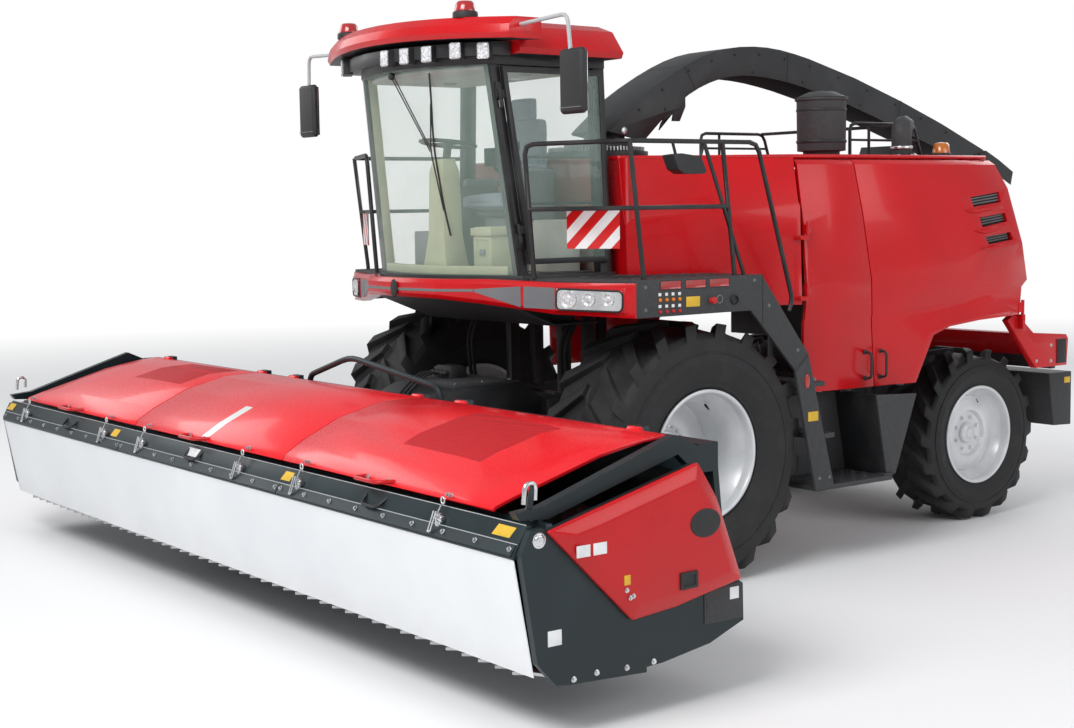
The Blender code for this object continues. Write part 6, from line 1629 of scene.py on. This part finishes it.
def buildNoseInsert():
    near = [(0.70, 2.062, 2.082), (0.74, 2.048, 2.086), (1.03, 1.962, 2.104)]
    far = [(1.05, 1.960, 2.104), (1.25, 1.953, 2.098), (1.30, 1.952, 2.094)]
    inserts, plates = [], []
    for side in (1, -1):
        for rows in (near, far):
            inserts.append(addStrip([(side * x, low, high) for x, low, high in rows], 0.0022, 0.0012))
        rows = [(side * x, 1.953 - 0.012 * (x - 1.30), 2.092 - 0.025 * (x - 1.30)) for x in (1.292, 1.50,
                                                                                             1.728)]
        plates.append(addStrip(rows, 0.002, 0.0162))
    middle = [(x, 2.064, 2.083) for x in (-0.695, -0.45, -0.225, 0.0, 0.225, 0.45, 0.695)]
    inserts.append(addStrip(middle, 0.0022, 0.0012))
    keepPiece(joinAll(inserts), "noseInsert", "gearGrey")
    keepPiece(joinAll(plates), "headlampReflectors", "brightZinc")
    # bare round mount in the middle of the nose
    disc = addTurned([(0.052, 0), (0.052, 0.006), (0.046, 0.009), (0.004, 0.010)], (0, 0, 0), toFront, 36)
    disc.data.transform(Matrix.Translation(place(0, -1.4325, 2.078)) @ Matrix.Diagonal((0.85, 1, 1.25, 1)))
    keepPiece(roundEdges(disc, 0.001, 1), "noseBlank", "blackPlastic")


prismSet = [
    # name, finish, outline along and up, low and high end along X, rounding, its segments
    ("stepSkirt", "speckledCoat", [(1.626, 1.212), (2.070, 1.190), (1.838, 0.604), (1.738, 0.604)],
     1.764, 1.776, 0.003, 2),
    # the end wall gets black paint as painted shade where it faces forward in shadow; the other walls of
    # the step well are speckled coat
    ("stepEndWallPaintedShade", "blackPaint", [(1.626, 1.212), (1.638, 1.212), (1.750, 0.6005), (1.738, 0.6005)],
     1.355, 1.764, 0.002, 1),
    ("stepInnerWall", "speckledCoat", [(1.08, 1.212), (1.630, 1.212), (1.742, 0.6005), (1.08, 0.6005)],
     1.345, 1.355, 0.002, 1),
    ("bellyPlate", "speckledCoat", [(-1.16, 2.035), (-1.16, 2.015), (-0.62, 1.80), (-0.22, 1.80),
                                    (-0.22, 1.815),
                                    (-0.61, 1.815)], -0.80, 0.80, 0.003, 2),
]
bellyRib = [(-1.10, 2.0), (-1.10, 2.045), (-0.24, 2.045), (-0.24, 1.815), (-0.60, 1.815)]
pipeSet = [
    # x at the top, shift of x at the foot, y and z of the upper bend, y of the knee, radius
    (0.585, -0.02, -0.40, 1.66, -0.38, 0.019), (0.645, -0.02, -0.40, 1.66, -0.38, 0.019),
    (-0.585, 0.02, -0.38, 1.64, -0.36, 0.015), (-0.640, 0.02, -0.38, 1.64, -0.36, 0.015),
]


def buildUnderside():
    # walls of the step well, plate and ribs under the cab, pipes to the front axle
    for name, finish, outline, low, high, width, segments in prismSet:
        keepPiece(prismAt(outline, "X", low, high, width, segments), name, finish)
    ribs = [prismAt(bellyRib, "X", x - 0.006, x + 0.006, 0.002) for x in (-0.55, 0.0, 0.55)]
    keepPiece(joinAll(ribs), "bellyRibs", "blackPaint")
    pipes, nuts = [], []
    nut = [(0.026, 0), (0.028, 0.004), (0.028, 0.030), (0.024, 0.034)]
    for x, shift, bendY, bendZ, kneeY, radius in pipeSet:
        foot = x + shift
        pipes.append(tubeAt([(x, -0.30, 1.80), (x, bendY, bendZ), (foot, kneeY, 1.28), (foot, -0.10, 1.10),
                             (foot, -0.06, 1.034)], radius, 0.09, 3))
        nuts.append(capAt(nut, (foot, -0.06, 1.034), toTop, 6, 0.002))
    keepPiece(joinAll(pipes), "axlePipes", "tyreRubber")
    keepPiece(joinAll(nuts), "axlePipeNuts", "brightZinc")
    for word, ending, side in sides:
        spots = [(side * 1.1805, along, 0.915 + rise) for along, rise in circleSpots(12, 0.20)]
        keepBolts(f"axleBolts{ending}", spots, (side, 0, 0), 0.010, 0.008, "gearGrey")


def buildFeederTrim():
    # bolts of the cover, the valve block with its ports and pipes, and the housing's ribs
    spots = [(x, y, 1.392) for x in (-0.325, 0.325) for y in (-1.145, -0.91, -0.675)]
    keepBolts("feederCoverBolts", spots, toTop, 0.010, 0.008, "brightZinc", "feeder")
    block = panelAt((-0.20, -0.98, 1.398), (0.02, -0.84, 1.475), toTop, 0.012, 0.010, 0.004)
    port = [(0.018, 0), (0.020, 0.004), (0.020, 0.035), (0.012, 0.045), (0.012, 0.060)]
    portLine = (-0.165, -0.115, -0.065, -0.015)
    ports = [capAt(port, (x, -0.985, 1.44), toFront, 12) for x in portLine]
    keepPiece(joinAll([block] + ports), "feederValve", "blackPaint", "feeder")
    lines = [tubeAt([(x, -1.04, 1.44), (x, -1.12, 1.44), (x + 0.02, -1.24, 1.375), (x + 0.05, -1.42, 1.23)],
                    0.010, 0.05, 2) for x in portLine[:3]]
    keepPiece(joinAll(lines), "feederPipes", "tyreRubber", "feeder")
    ribs = [panelAt((side * 0.3995, y, 0.62), (side * 0.408, y + 0.05, 1.22), (side, 0, 0), 0.006, 0.006,
                    0.003)
            for side in (1, -1) for y in (-1.36, -0.98)]
    keepPiece(joinAll(ribs), "feederRibs", "blackPaint", "feeder")


stages = {
    "camera, light and floor": (buildCamera, buildLight, buildWorld, buildFloor),
    "softened solids": (dressGlass, buildLooks),
    "plates and labels": (buildPlates,),
    "wheels": (buildWheels,),
    "header": (buildCoverTrim, buildBeamTrim, buildEndTrim, buildCurtain),
    "seat": (buildSeat,),
    "cab": (buildBeacons, buildWorkLamps, buildHeadlamps, buildWiper, buildLining, buildCabInside),
    "body and rear": (buildSlots, buildDoorTrim, buildWeightTrim, buildFender, buildDeckTrim),
    "spout": (buildSpout, buildTurret),
    "nose and underside": (buildNoseInsert, buildUnderside, buildFeederTrim),
}
for stage, jobs in stages.items():
    print(stage)
    for job in jobs:
        job()
